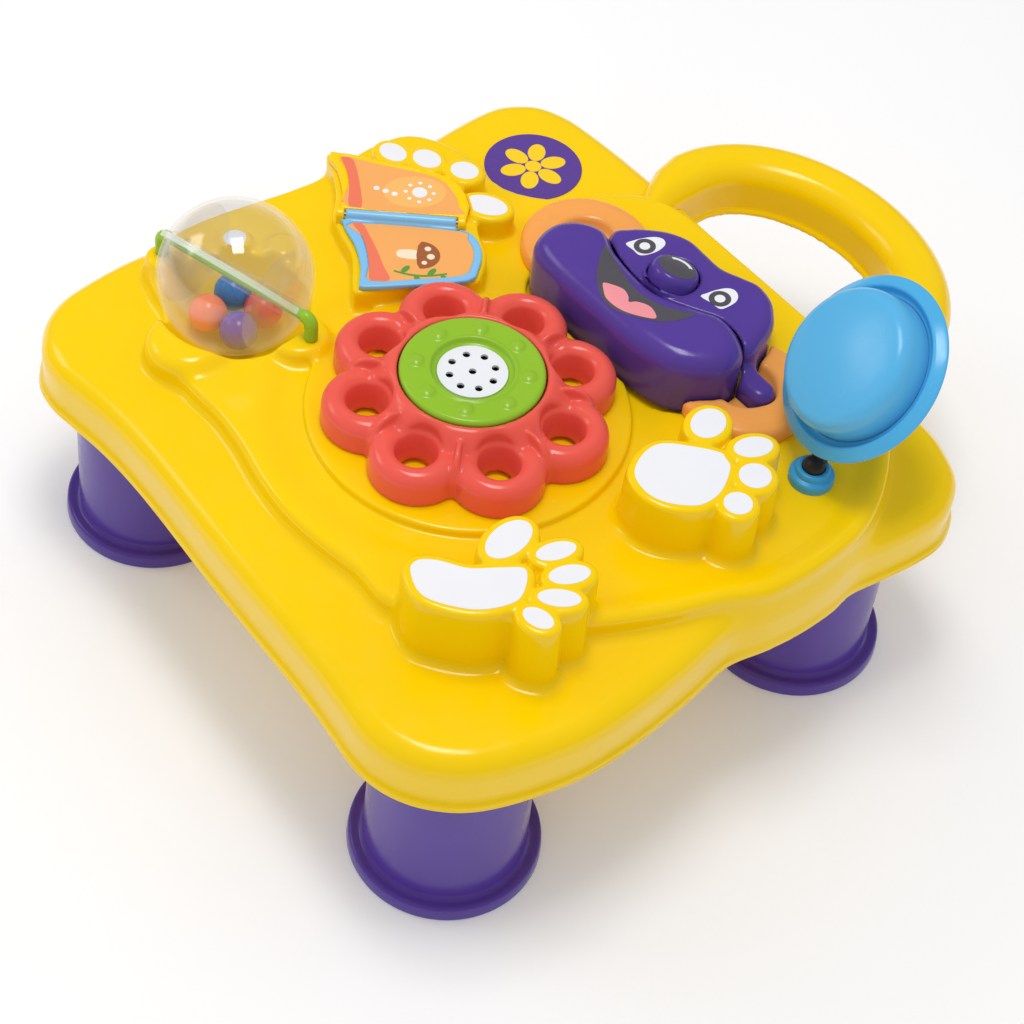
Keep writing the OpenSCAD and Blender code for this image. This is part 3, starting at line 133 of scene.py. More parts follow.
# Ovals: middle, half width, half depth, turn in degrees
PAW_TOES = [((112.9, 59.5), 10, 12.5, 20), ((139.8, 68.6), 8, 12, -20),
            ((155.8, 55.4), 9.5, 9.8, 0), ((165.2, 34.6), 8.5, 8.7, 0)]
FINGERS = [((114, -79.5), 10, 16.5, 12), ((134, -64), 6.5, 12, -15), ((150, -68), 7, 12, -22),
           ((159, -82), 6.5, 12, -40), ((163, -99), 9.5, 6.5, 18)]
TOES = [((-177, 60), 10, 8, 10), ((-161, 74), 10, 8.5, 15), ((-140, 87), 9.5, 8.5, 30),
        ((-108, 79), 14, 9, 35)]
SMALL_TOE = ((-176, -56), 7.5, 7.5, 0)
# Mounds round the globe: middle, radius, top, rounding
MOUNDS = [((-121, -124.5), 24.5, DECK_Z + 19, 9), ((-88.5, -70), 17.5, PLATFORM_Z + 7, 5),
          ((-184, -100), 11, PLATFORM_Z + 7, 4), ((-157, -35), 9, PLATFORM_Z + 4, 4)]
BOOK_STEP = [
    (-50, -15), (-36, -10), (-16, -7), (2, -8), (10, -5), (20, -1), (36, 6), (62, 8), (66, 14),
    (57.5, 42), (51, 77), (42, 83), (26, 85), (8, 80), (-12, 77), (-30, 69), (-41, 53),
    (-47, 20), (-54, -10)]
LEAF_LINE = [
    (-50, -13), (-44, -13), (-36, -8), (-25, -5), (-14, -3), (0.5, -3.5), (0.5, 72),
    (-10, 73.5), (-20, 71), (-28, 67), (-34, 61), (-38, 53), (-42, 38), (-45, 20), (-49, 0)]
PAGE_LINE = [
    (6, 0.5), (11, -1), (19, 2), (28, 6.5), (39, 10), (50, 11.7), (61, 11.8), (65, 14.5),
    (60.5, 41), (53, 74.5), (42, 80.5), (29, 82), (18, 79), (11, 73), (10, 66), (6, 66)]
LEAF_CARD = [
    (-46, -6), (-34, -2), (-20, 0.5), (-2, 1.5), (-2, 66), (-9, 67), (-21, 63.5), (-34, 52),
    (-41, 20)]
LEAF_STRIPE = [
    (-46, -6), (-34, -2), (-20, 0.5), (-2, 1.5), (-2, 9), (-20, 7.2), (-34, 4.4), (-44.5, 1)]
PAGE_CARD = [
    (11, 4.5), (21, 10.5), (34, 14.5), (47, 16.5), (59, 18), (54, 47), (48.5, 71), (39, 76),
    (28, 77), (17.5, 73), (11, 67)]
PAGE_STRIPE = [
    (11, 4.5), (21, 10.5), (34, 14.5), (47, 16.5), (59, 18), (57, 29), (46, 25), (33, 20.5),
    (21, 15.5), (11, 10.5)]
SMILE_LINE = [
    (-38, 1), (-23, -19), (-6, -29), (12, -27), (29, -14), (35, 6), (20, -5), (1, -9.5),
    (-20, -5)]
TONGUE_LINE = [
    (-13.5, -22), (-9.5, -18.5), (-3, -15.5), (3, -17), (6.5, -19.5), (9, -15.5), (15, -12),
    (21, -12.5), (25, -15.5), (19, -21.5), (12, -25.6), (4, -27.6), (-4, -27.6), (-9, -25.4)]
# Eyes: outlines about the face's middle, and the middles of their dark rings
EYE_LINES = [
    [(-37.5, 16.5), (-31, 16.8), (-25.6, 17.2), (-23, 23), (-22.6, 30), (-24.5, 36),
     (-28.5, 37.8), (-32.5, 35), (-35.4, 29), (-37.3, 22)],
    [(20, 24.8), (27, 26.2), (34, 27.4), (35.3, 33), (34.6, 39.5), (31.5, 43.6),
     (27, 44.8), (23.4, 42), (21.2, 36), (20.2, 30)]]
EYE_RINGS = [(-29.8, 24.6), (27.8, 32.8)]


# ---- Making shapes ----

def catmull(points, n=4):
    """A smooth closed outline through the points."""
    p = np.array(points, float)
    a, c, d = np.roll(p, 1, 0), np.roll(p, -1, 0), np.roll(p, -2, 0)
    steps = [0.5 * (2 * p + (c - a) * t + (2 * a - 5 * p + 4 * c - d) * t ** 2
                    + (3 * p - a - 3 * c + d) * t ** 3) for t in np.arange(n) / n]
    return np.stack(steps, 1).reshape(-1, 2)


def oval(spec, n=32, grow=0):
    centre, half_w, half_d, turn = spec
    t = np.linspace(0, 2 * math.pi, n, endpoint=False)
    a = math.radians(turn)
    x, y = (half_w + grow) * np.cos(t), (half_d + grow) * np.sin(t)
    return np.stack([centre[0] + x * math.cos(a) - y * math.sin(a),
                     centre[1] + x * math.sin(a) + y * math.cos(a)], 1)


def nearest(x, y, a, b):
    """How far along the line from a to b its nearest point lies, and the squared distance."""
    dx, dy = b[0] - a[0], b[1] - a[1]
    t = np.clip(((x - a[0]) * dx + (y - a[1]) * dy) / (dx * dx + dy * dy), 0, 1)
    return t, (x - a[0] - t * dx) ** 2 + (y - a[1] - t * dy) ** 2


def distance(x, y, outline, about_axis=False):
    """Distance in a plane to a closed outline, negative inside. In a profile about an axis,
    the line along the axis is no surface."""
    best, inside = np.full(x.shape, 1e9), np.zeros(x.shape, bool)
    p = np.array(outline, float)
    for a, b in zip(p, np.roll(p, -1, 0)):
        if (a == b).all():
            continue
        if not about_axis or a[0] > 0 or b[0] > 0:
            best = np.minimum(best, nearest(x, y, a, b)[1])
        if a[1] != b[1]:
            across = a[0] + (y - a[1]) * (b[0] - a[0]) / (b[1] - a[1])
            inside ^= ((a[1] > y) != (b[1] > y)) & (x < across)
    return np.where(inside, -1, 1) * np.sqrt(best)


class Field:
    """Signed distances in millimetres over a grid of cells, negative inside. A distance in
    plan has one layer and a solid's has as many as the grid."""

    def __init__(self, low, high, cell):
        self.low, self.cell = np.array(low, float), cell
        count = np.ceil((np.array(high) - self.low) / cell).astype(int) + 1
        x, y, self.z = [self.low[k] + cell * np.arange(count[k]) for k in range(3)]
        self.x, self.y = (a[..., None] for a in np.meshgrid(x, y, indexing="ij"))

    def shape(self, outline):
        """Distance in plan to a closed outline."""
        return distance(self.x, self.y, outline)

    def path(self, points):
        """Distance in plan to an open band, from points of (x, y, half width)."""
        best = np.inf
        for a, b in zip(points[:-1], points[1:]):
            t, square = nearest(self.x, self.y, a, b)
            best = np.minimum(best, np.sqrt(square) - a[2] - t * (b[2] - a[2]))
        return best

    def circle(self, centre, radius):
        return np.hypot(self.x - centre[0], self.y - centre[1]) - radius

    def block(self, plan, top, edge, low=None, draft=0):
        """An upright block over a plan distance, with a rounded top edge and sloping sides."""
        d = rounded(plan - draft * (top - self.z), self.z - top, edge)
        return d if low is None else np.maximum(d, low - self.z)

    def ball(self, centre, radius):
        x, y, z = centre
        return np.sqrt((self.x - x) ** 2 + (self.y - y) ** 2 + (self.z - z) ** 2) - radius

    def turned(self, centre, profile):
        """A solid of revolution about an upright axis, from a closed profile (radius, z)."""
        rho = self.circle(centre, 0) + 0 * self.z
        return distance(rho, self.z + 0 * rho, profile, True)

    def skin(self, d):
        """The surface where d is 0, as vertices and faces of four corners."""
        inside = d < 0
        corners = [(i, j, k) for i in (0, 1) for j in (0, 1) for k in (0, 1)]
        n = np.array(d.shape) - 1
        parts = [inside[i:n[0] + i, j:n[1] + j, k:n[2] + k] for i, j, k in corners]
        total = sum(p.astype(np.int8) for p in parts)
        cell = np.argwhere((total > 0) & (total < 8))
        number = np.full(n, -1)
        number[tuple(cell.T)] = np.arange(len(cell))
        value = [d[tuple((cell + c).T)] for c in corners]
        place, hits = np.zeros((len(cell), 3)), np.zeros(len(cell))
        for a, b in [(a, b) for a in range(8) for b in range(a + 1, 8)]:
            ca, cb = np.array(corners[a]), np.array(corners[b])
            if abs(ca - cb).sum() == 1:
                cross = (value[a] < 0) != (value[b] < 0)
                t = value[a][cross] / (value[a][cross] - value[b][cross])
                place[cross] += ca + t[:, None] * (cb - ca)
                hits[cross] += 1
        points = self.low + self.cell * (cell + place / hits[:, None])
        faces = []
        for axis in range(3):
            u, v = [k for k in range(3) if k != axis]
            step = np.zeros(3, int)
            step[axis] = 1
            near = inside[tuple(slice(0, s - e) for s, e in zip(d.shape, step))]
            far = inside[tuple(slice(e, None) for e in step)]
            edge = np.argwhere(near != far)
            edge = edge[(edge[:, u] > 0) & (edge[:, v] > 0)
                        & (edge[:, u] < n[u]) & (edge[:, v] < n[v])]
            ring = []
            for du, dv in ((-1, -1), (0, -1), (0, 0), (-1, 0)):
                c = edge.copy()
                c[:, u] += du
                c[:, v] += dv
                ring.append(number[tuple(c.T)])
            ring = np.stack(ring, 1)
            flip = near[tuple(edge.T)] != (axis != 1)
            ring[flip] = ring[flip][:, ::-1]
            faces.append(ring)
        return points, np.concatenate(faces)


def rounded(a, b, edge):
    """What lies in a and in b, with a round edge of this radius between them."""
    a, b = a + edge, b + edge
    return np.minimum(np.maximum(a, b), 0) + np.hypot(np.maximum(a, 0), np.maximum(b, 0)) - edge


def cut(a, b):
    """a without b."""
    return np.maximum(a, -b)


def smooth_union(a, b, k):
    """What lies in a or in b, with a fillet of about this size between them."""
    h = np.clip(0.5 + 0.5 * (b - a) / k, 0, 1)
    return b + (a - b) * h - k * h * (1 - h)


def smooth_cut(a, b, k):
    """a without b, with the edge between them rounded."""
    return -smooth_union(-a, b, k)


def smooth_both(a, b, k):
    """What lies in a and in b, with the edge between them rounded."""
    return -smooth_union(-a, -b, k)


def ramp(v, a, b):
    """A soft step from 0 at a to 1 at b."""
    t = np.clip((v - a) / (b - a), 0, 1)
    return t * t * (3 - 2 * t)


def add_mesh(name, points, faces, matrix=None):
    """A new smooth mesh object from points in millimetres from the deck's middle."""
    mesh = bpy.data.meshes.new(name)
    points = np.array(points, float)
    if matrix is not None:
        m = np.array(matrix)
        points = points @ m[:3, :3].T + m[:3, 3]
    mesh.from_pydata(((points + [0, SHIFT, 0]) * MM).tolist(), [], [list(f) for f in faces])
    mesh.validate()
    mesh.polygons.foreach_set("use_smooth", [True] * len(mesh.polygons))
    obj = bpy.data.objects.new(name, mesh)
    bpy.context.collection.objects.link(obj)
    return obj


def field_mesh(name, field, d, matrix=None):
    points, faces = field.skin(d)
    return add_mesh(name, points, faces, matrix)


def thin_inside(obj, field, outer, depth, ratio):
    """Takes faces out of a shell's hidden inside, which lies depth below its outer skin."""
    spots = np.array([v.co for v in obj.data.vertices]) / MM - [0, SHIFT, 0] - field.low
    cell = np.rint(spots / field.cell).astype(int)
    group = obj.vertex_groups.new(name="inside")
    group.add(np.flatnonzero(outer[tuple(cell.T)] < -depth).tolist(), 1, "REPLACE")
    thin = obj.modifiers.new("thin", "DECIMATE")
    thin.ratio = ratio
    thin.vertex_group = group.name
    done = obj.evaluated_get(bpy.context.evaluated_depsgraph_get())
    mesh = bpy.data.meshes.new_from_object(done)
    obj.modifiers.clear()
    obj.vertex_groups.clear()
    obj.data = mesh
    return obj


def lathe(name, loops, matrix=None, steps=96):
    """Turns closed profiles of (radius, z) about Z. The first is the solid, the rest are
    hollows in it. A profile that starts on the axis is closed along it."""
    points, faces = [], []
    angles = [2 * math.pi * i / steps for i in range(steps)]
    for number, loop in enumerate(loops):
        if (turned_left(loop) > 0) == (number > 0):
            loop = loop[::-1]
        rings = []
        for r, z in loop:
            if r < 1e-6:
                rings.append([len(points)] * steps)
                points.append((0, 0, z))
            else:
                rings.append(list(range(len(points), len(points) + steps)))
                points += [(r * math.cos(a), r * math.sin(a), z) for a in angles]
        if loop[0][0] > 0:
            rings.append(rings[0])
        for low, high in zip(rings[:-1], rings[1:]):
            for i in range(steps):
                j = (i + 1) % steps
                quad = [low[i], low[j], high[j], high[i]]
                face = [v for k, v in enumerate(quad) if v not in quad[:k]]
                if len(face) > 2:
                    faces.append(face)
    return crisp(add_mesh(name, points, faces, matrix))


def turned_left(loop):
    """Twice a loop's area, above zero where it runs to the left."""
    p = np.array(loop, float)
    q = np.roll(p, -1, 0)
    return (p[:, 0] * q[:, 1] - q[:, 0] * p[:, 1]).sum()


def bands(rows, n, loop=False):
    """Faces of four corners between rows of n points. Each row is closed on itself."""
    return [[i * n + k, i * n + (k + 1) % n, (i + 1) % rows * n + (k + 1) % n,
             (i + 1) % rows * n + k] for i in range(rows if loop else rows - 1) for k in range(n)]


def crisp(obj, angle=38):
    """Keeps edges sharper than the angle crisp."""
    obj.data.set_sharp_from_angle(angle=math.radians(angle))
    return obj


def cap(loop, start=0):
    """Triangles that fill a flat loop."""
    flat = [[Vector((x, y, 0)) for x, y in loop]]
    return [[start + i for i in face] for face in tessellate_polygon(flat)]


def sweep(name, loop, matrix, start, end, steps=48):
    """Turns a closed profile of (radius, z) part of the way about Z and closes both ends."""
    points = [(r * math.cos(a), r * math.sin(a), z)
              for a in np.radians(np.linspace(start, end, steps + 1)) for r, z in loop]
    faces = bands(steps + 1, len(loop)) + cap(loop) + cap(loop, steps * len(loop))
    obj = add_mesh(name, points, faces, matrix)
    mend_sides(obj)
    return crisp(obj)


def mend_sides(obj):
    """Turns every face's outside outwards."""
    mesh = bmesh.new()
    mesh.from_mesh(obj.data)
    bmesh.ops.recalc_face_normals(mesh, faces=mesh.faces)
    mesh.to_mesh(obj.data)
    mesh.free()


def inset(outline, by):
    """A closed outline with every point moved inwards."""
    p = np.array(outline, float)
    way = np.roll(p, -1, 0) - np.roll(p, 1, 0)
    way /= np.linalg.norm(way, axis=1)[:, None]
    return p + np.stack([-way[:, 1], way[:, 0]], 1) * by * np.sign(turned_left(p))


def prism(name, outline, low, high, matrix=None, bevel=0.1):
    """A flat film or plate with a fine bevel round its top."""
    outer, inner = np.array(outline, float), inset(outline, bevel)
    n = len(outer)
    rows = [(outer, low), (outer, high - bevel), (inner, high)]
    points = [(x, y, z) for row, z in rows for x, y in row]
    faces = bands(3, n) + cap(outer) + cap(inner, 2 * n)
    obj = add_mesh(name, points, faces, matrix)
    mend_sides(obj)
    return crisp(obj, 30)


def polar(radius, degrees, centre=(0, 0)):
    a = math.radians(degrees)
    return centre[0] + radius * math.cos(a), centre[1] + radius * math.sin(a)


def arc(centre, radius, start, end, n=6):
    """Points of an arc, in degrees."""
    return [polar(radius, a, centre) for a in np.linspace(start, end, n)]


def ring(count, radius, start=0, centre=(0, 0)):
    """Points spaced evenly round a centre."""
    return [polar(radius, start + 360 / count * k, centre) for k in range(count)]


def tube(name, points, radii, sides=16, matrix=None, loop=False):
    """A round rod along the points with a radius at each, closed at its ends or on itself."""
    p = [Vector(q) for q in points]
    n = len(p)
    up = Vector((0, 0, 1)) if loop else Vector((0.13, 0.21, 0.97))
    rows = []
    for i, q in enumerate(p):
        before, after = (i - 1, (i + 1) % n) if loop else (max(i - 1, 0), min(i + 1, n - 1))
        way = (p[after] - p[before]).normalized()
        up = (up - up.dot(way) * way).normalized()
        across = way.cross(up)
        rows += [tuple(q + radii[i] * (math.cos(t) * up + math.sin(t) * across))
                 for t in (2 * math.pi * k / sides for k in range(sides))]
    faces = bands(n, sides, loop)
    if not loop:
        faces += [list(range(sides))[::-1], list(range((n - 1) * sides, n * sides))]
    return add_mesh(name, rows, faces, matrix)


def coil(name, mean, wire, low, high, turns, matrix):
    """A coil spring of a mean radius, standing between two heights of its place."""
    rise = (high - low - 2 * wire) / (2 * math.pi * turns)
    points = [(mean * math.cos(t), mean * math.sin(t), low + wire + rise * t)
              for t in np.linspace(0, 2 * math.pi * turns, turns * 22)]
    return tube(name, points, [wire] * len(points), 10, matrix)


def placed(x, y, z, turn=0, lean=0, about="Y"):
    """A place on the deck: moved, turned about Z and leant."""
    return (Matrix.Translation((x, y, z)) @ Matrix.Rotation(math.radians(turn), 4, "Z")
            @ Matrix.Rotation(math.radians(lean), 4, about))


# ---- Materials ----

class Nodes:
    """The nodes of a material or a world, made by short calls."""

    def __init__(self, owner):
        owner.use_nodes = True
        self.owner, self.tree = owner, owner.node_tree

    def feed(self, node, inputs):
        """Links or sets a node's inputs."""
        for key, value in inputs.items():
            if isinstance(value, bpy.types.NodeSocket):
                self.tree.links.new(value, node.inputs[key])
            else:
                node.inputs[key].default_value = value
        return node

    def new(self, kind, inputs, output=0, **settings):
        """The output of a new node."""
        node = self.tree.nodes.new("ShaderNode" + kind)
        for key, value in settings.items():
            setattr(node, key, value)
        return self.feed(node, inputs).outputs[output]

    def math(self, operation, a, b):
        return self.new("Math", {0: a, 1: b}, operation=operation)

    def noise(self, scale, detail=3, rough=0.5):
        return self.new("TexNoise", {"Scale": scale, "Detail": detail, "Roughness": rough,
                                     "Vector": self.place}, "Fac")

    def spread(self, value, from_low, from_high, low, high):
        return self.new("MapRange", {"Value": value, "From Min": from_low, "From Max": from_high,
                                     "To Min": low, "To Max": high}, "Result")

    def mix(self, factor, a, b):
        return self.new("Mix", {"Factor": factor, 6: a, 7: b}, 2, data_type="RGBA")

    def blend(self, factor, a, b):
        return self.new("MixShader", {0: factor, 1: a, 2: b})

    def bump(self, height, strength, distance):
        return self.new("Bump", {"Height": height, "Strength": strength,
                                 "Distance": distance}, "Normal")


def new_material(name):
    n = Nodes(bpy.data.materials.new(name))
    n.shader = n.tree.nodes["Principled BSDF"]
    n.place = n.new("TexCoord", {}, "Object")
    return n


def linear(rgb):
    """An 8-bit screen colour as the linear colour that the shader takes."""
    return [(c / 255 / 12.92 if c / 255 <= 0.04045 else ((c / 255 + 0.055) / 1.055) ** 2.4)
            for c in rgb] + [1]


def shade(colour, factor):
    return [c * factor for c in colour[:3]] + [1]


def plastic(name, rgb, rough=0.22, deep=0.92, soft=0.0):
    """Moulded plastic: a soft flow in the colour, faint ripples and scuffed edges."""
    n = new_material(name)
    colour = linear(rgb)
    pale = [min(1, c * 0.8 + 0.12) for c in colour[:3]] + [1]
    flow = n.spread(n.noise(9, 4), 0.3, 0.7, 0, 1)
    worn = n.spread(n.new("NewGeometry", {}, "Pointiness"), 0.53, 0.62, 0, 0.35)
    wear = n.math("MULTIPLY", worn, n.spread(n.noise(900, 2), 0.45, 0.6, 0, 1))
    ripple = n.math("ADD", n.noise(35, 2), n.spread(n.noise(1400, 2), 0, 1, 0, 0.12))
    n.feed(n.shader, {
        "Base Color": n.mix(wear, n.mix(flow, shade(colour, deep), colour), pale),
        "Roughness": n.spread(n.noise(60, 5, 0.6), 0.3, 0.7, rough - 0.05, rough + 0.07),
        "Normal": n.bump(ripple, 0.12, 0.0006), "IOR": 1.49, "Specular IOR Level": 0.4,
        "Subsurface Weight": soft, "Subsurface Radius": (0.006, 0.004, 0.002),
        "Subsurface Scale": 1})
    return n.owner


def steel(name, rgb, rough):
    """Drawn steel with fine uneven streaks."""
    n = new_material(name)
    colour = linear(rgb)
    streak = n.noise(260, 6, 0.7)
    n.feed(n.shader, {
        "Base Color": n.mix(streak, shade(colour, 0.7), colour), "Metallic": 1,
        "Roughness": n.spread(streak, 0.3, 0.7, rough - 0.08, rough + 0.1),
        "Normal": n.bump(streak, 0.1, 0.0002)})
    return n.owner


def film(name, rgb, rough=0.35):
    """Printed sticker film with a fine, slightly uneven surface."""
    n = new_material(name)
    colour = linear(rgb)
    n.feed(n.shader, {
        "Base Color": n.mix(n.noise(40, 3), shade(colour, 0.95), colour),
        "Roughness": n.spread(n.noise(300, 3), 0.3, 0.7, rough - 0.06, rough + 0.08),
        "Normal": n.bump(n.noise(700, 3), 0.06, 0.0003)})
    return n.owner


def clear(name, pale, pale_edge):
    """Clear moulded plastic: see-through face on, paler towards its edges, with glints."""
    n = new_material(name)
    ripple = n.bump(n.noise(60, 3), 0.08, 0.0005)
    n.feed(n.shader, {
        "Base Color": (0.95, 0.96, 0.98, 1), "Normal": ripple,
        "Roughness": n.spread(n.noise(120, 4), 0.3, 0.7, 0.03, 0.1)})
    see = n.new("BsdfTransparent", {"Color": (1, 1, 1, 1)})
    shine = n.new("BsdfGlossy", {"Roughness": 0.05, "Normal": ripple})
    glint = n.math("MINIMUM", n.new("Fresnel", {"IOR": 1.55}), 0.09)
    edge = n.math("POWER", n.new("LayerWeight", {"Blend": 0.5}, "Facing"), 4)
    whole = n.blend(n.spread(edge, 0, 1, pale, pale_edge), n.blend(glint, see, shine),
                    n.shader.outputs[0])
    n.feed(n.tree.nodes["Material Output"], {"Surface": whole})
    return n.owner


YELLOW = plastic("yellow_plastic", (255, 212, 0), 0.17, 0.95)
PURPLE = plastic("purple_plastic", (88, 62, 156), 0.2, 0.9)
RED = plastic("red_plastic", (243, 96, 82), 0.2, soft=0.1)
GREEN = plastic("green_plastic", (149, 196, 46))
ORANGE = plastic("orange_plastic", (255, 172, 86), soft=0.1)
BLUE = plastic("blue_plastic", (80, 179, 232))
SKY = plastic("sky_plastic", (90, 182, 232), 0.22, 0.95)
BASE_BLUE = plastic("base_blue_plastic", (60, 165, 225))
PAGE_BLUE = plastic("page_blue_plastic", (132, 196, 240), 0.25, 0.95)
WHITE = plastic("white_plastic", (236, 238, 243), 0.3, 0.97)
DARK = plastic("dark_plastic", (40, 40, 44), 0.4, 0.85)
BOARD = plastic("board_lacquer", (28, 92, 50), 0.35, 0.8)
CELL = plastic("cell_wrap", (40, 110, 74), 0.3, 0.9)
STEEL = steel("bright_steel", (180, 180, 184), 0.3)
SPRING = steel("dark_spring_steel", (96, 78, 66), 0.35)
WHITE_FILM = film("white_film", (242, 242, 246))
GREY_FILM = film("grey_film", (84, 80, 88))
PINK_FILM = film("pink_film", (244, 150, 158))
CARD_FILM = film("card_film", (252, 176, 96))
GLOW_FILM = film("glow_film", (253, 190, 104))
STRIPE_FILM = film("stripe_film", (246, 124, 92))
CREAM_FILM = film("cream_film", (250, 232, 200))
BROWN_FILM = film("brown_film", (168, 96, 52))
LEAF_FILM = film("leaf_film", (96, 160, 60))
BADGE_FILM = film("badge_film", (96, 66, 156), 0.25)
YELLOW_FILM = film("yellow_film", (255, 214, 30), 0.25)
CLEAR = clear("clear_plastic", 0.02, 0.4)
CLEAR_RIM = clear("clear_rim_plastic", 0.3, 0.7)
BEADS = {"red_bead": (plastic("red_bead_plastic", (222, 34, 40), 0.2, 0.9), "bead_red"),
         "blue_bead": (plastic("blue_bead_plastic", (20, 118, 190), 0.2, 0.9), "bead_blue"),
         "orange_bead": (plastic("orange_bead_plastic", (250, 134, 84), 0.2, 0.9), "orange"),
         "purple_bead": (plastic("purple_bead_plastic", (112, 72, 168), 0.2, 0.9),
                         "bead_purple")}


def dress(obj, material, body, node=None):
    """Gives a new piece its material and its body, and hides the CAD node that it stands for."""
    obj.data.materials.clear()
    obj.data.materials.append(material)
    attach(obj, body)
    if node:
        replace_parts(obj, node)
    return obj


# ---- Deck ----

def deck():
    """The moulded deck: soft edges, fillets round every block and a thin wall below."""
    ring_r, moat_r, moat_w, hub_hole_r, stem_hole_r = 92.5, 57.5, 9, 32.2, 7.1
    deck_round, post_round, draft = 13, 2.4, 0.04
    f = Field((-221, -201, LEG_H - 1.1), (221, 215, max(HAND_TOP, PAW_TOP) + 3), 1.4)
    plan = f.shape(catmull(DECK_LINE))
    platform = f.shape(catmull(PLATFORM_LINE))
    from_flower = f.circle(FLOWER, 0)
    ridge = 3.2 * ramp(-platform, 20, 6) * ramp(f.x, 118, 150)
    fall = 2.8 * ramp(from_flower, 122, 101)
    # Blocks: plan, top, rounding of the top edge, fillet at the foot
    blocks = [(plan - LIP_W + 0.4, LEG_H + LIP_H, 2.2, 4),
              (platform, PLATFORM_Z + ridge - fall, 6, 9),
              (from_flower - ring_r, RING_Z, 1.8, 1.5),
              (f.shape(catmull(leaf_place(BOOK_STEP))), BOOK_Z, 1.6, 4)]
    blocks += [(f.circle(centre, radius), top, edge, 7) for centre, radius, top, edge in MOUNDS]
    blocks.append((f.circle(SMALL_TOE[0], SMALL_TOE[1] + BORDER - 1), SMALL_TOE_TOP, 2, 4))
    d = f.block(plan, DECK_Z, deck_round)
    for block, top, edge, fillet in blocks:
        d = smooth_union(d, f.block(block, top, edge), fillet)
    for ovals, pad, top, fillet in ((FINGERS, PALM_LINE, HAND_TOP, 6),
                                    (PAW_TOES, PAW_LINE, PAW_TOP, 6), (TOES, None, TOE_TOP, 3)):
        shapes = [f.shape(oval(o)) for o in ovals]
        if pad:
            shapes.append(f.shape(catmull(pad)))
        posts = [f.block(s - BORDER, top, post_round, None, draft) for s in shapes]
        group, joined = posts[0], shapes[0]
        for s, post in zip(shapes[1:], posts[1:]):
            group, joined = smooth_union(group, post, 1), smooth_union(joined, s, 8)
        if pad:
            group = smooth_union(group, f.block(joined - BORDER + 1, top - 5, 2), 3)
        d = smooth_union(d, group, fillet)
    # Hollows: plan, floor, rounding of the edge
    d = smooth_cut(d, f.ball(GLOBE, WELL_R), 2)
    for hollow, floor, edge in (
            (f.shape(leaf_place(LEAF_LINE)) - 0.3, BOOK_Z, 0.8),
            (f.shape(on_face(MUZZLE_LINE, 6)) - FACE_GAP, PLATFORM_Z - 5.5, 1.5),
            (np.abs(from_flower - moat_r) - moat_w, RING_Z - 2, 1.5)):
        d = smooth_cut(d, np.maximum(hollow, floor - f.z), edge)
    outer = d
    d = np.maximum(cut(d, d + WALL), LEG_H + 1.2 - f.z)
    d = cut(cut(d, from_flower - hub_hole_r), f.circle(MUZZLE_STEM, stem_hole_r))
    obj = thin_inside(field_mesh("deck", f, d), f, outer, WALL / 2, 0.6)
    dress(obj, YELLOW, "table", "table_top")
    bead_r = 1.5
    edge = inset(catmull(DECK_LINE, 8), bead_r + 0.05 - LIP_W)
    line = [(x, y, LEG_H + bead_r) for x, y in edge]
    bead = tube("deck_edge", line, [bead_r] * len(line), 12, None, True)
    dress(bead, YELLOW, "table", None)


def leaf_place(outline):
    """An outline in the book's own plan, on the deck."""
    a = math.radians(BOOK_TURN)
    turn = np.array([[math.cos(a), math.sin(a)], [-math.sin(a), math.cos(a)]])
    return np.array(outline, float) @ turn + BOOK_AT


def book_lugs():
    """The two lugs of the book's hinge, which hold the pin's ends."""
    pin_u, pin_z, lug_r, half_w, edge = 5.5, BOOK_Z + 4.8, 3.6, 2.35, 0.8
    for k, v in enumerate((-5.5, 66.8)):
        f = Field((0, v - 1, BOOK_Z - 3), (11, v + 5.7, pin_z + 5), 0.4)
        post = np.maximum(np.abs(f.x - pin_u) - lug_r, f.z - pin_z - edge)
        post = np.minimum(post, np.hypot(f.x - pin_u, f.z - pin_z) - lug_r)
        d = rounded(post, np.abs(f.y - v - half_w) - half_w, edge)
        lug = field_mesh("book_lug_%d" % (k + 1), f, d, placed(*BOOK_AT, 0, BOOK_TURN))
        dress(lug, YELLOW, "table", None)


def handle_line():
    """The carry handle's middle line with its half width, from its left to its right end."""
    across, half_w, wide_y, depth = 11, 94, 225, 72
    left = [(-half_w + 19, BACK - 36, 9.5), (-half_w + 13, BACK - 24, 10.5),
            (-half_w + 7, BACK - 12, 12.5), (-half_w + 2, BACK + 4, 15.5)]
    bow = [(half_w * math.cos(a), wide_y + depth * math.sin(a), 17)
           for a in np.linspace(math.pi, 0, 41)]
    return [(x + across, y, r) for x, y, r in left + bow + [(-x, y, r) for x, y, r in left[::-1]]]


def handle():
    """The carry handle: a hollow arched tube with a foot edge below."""
    f = Field((-108, BACK - 58, HANDLE_LOW - 1.5), (130, HANDLE_BACK + 3, HANDLE_TOP + 3), 1.5)
    line = f.path(handle_line())
    d = f.block(line, HANDLE_TOP, 14, HANDLE_LOW)
    d = smooth_union(d, f.block(line - 2, HANDLE_LOW + 3, 1.2, HANDLE_LOW), 2)
    d = cut(d, f.block(line + WALL, HANDLE_TOP - WALL, 12))
    deck_inside = f.shape(catmull(DECK_LINE)) + WALL
    d = cut(d, f.block(deck_inside, DECK_Z - WALL, 11))
    dress(field_mesh("carry_handle_tube", f, d), YELLOW, "table", "carry_handle")


# ---- Legs ----

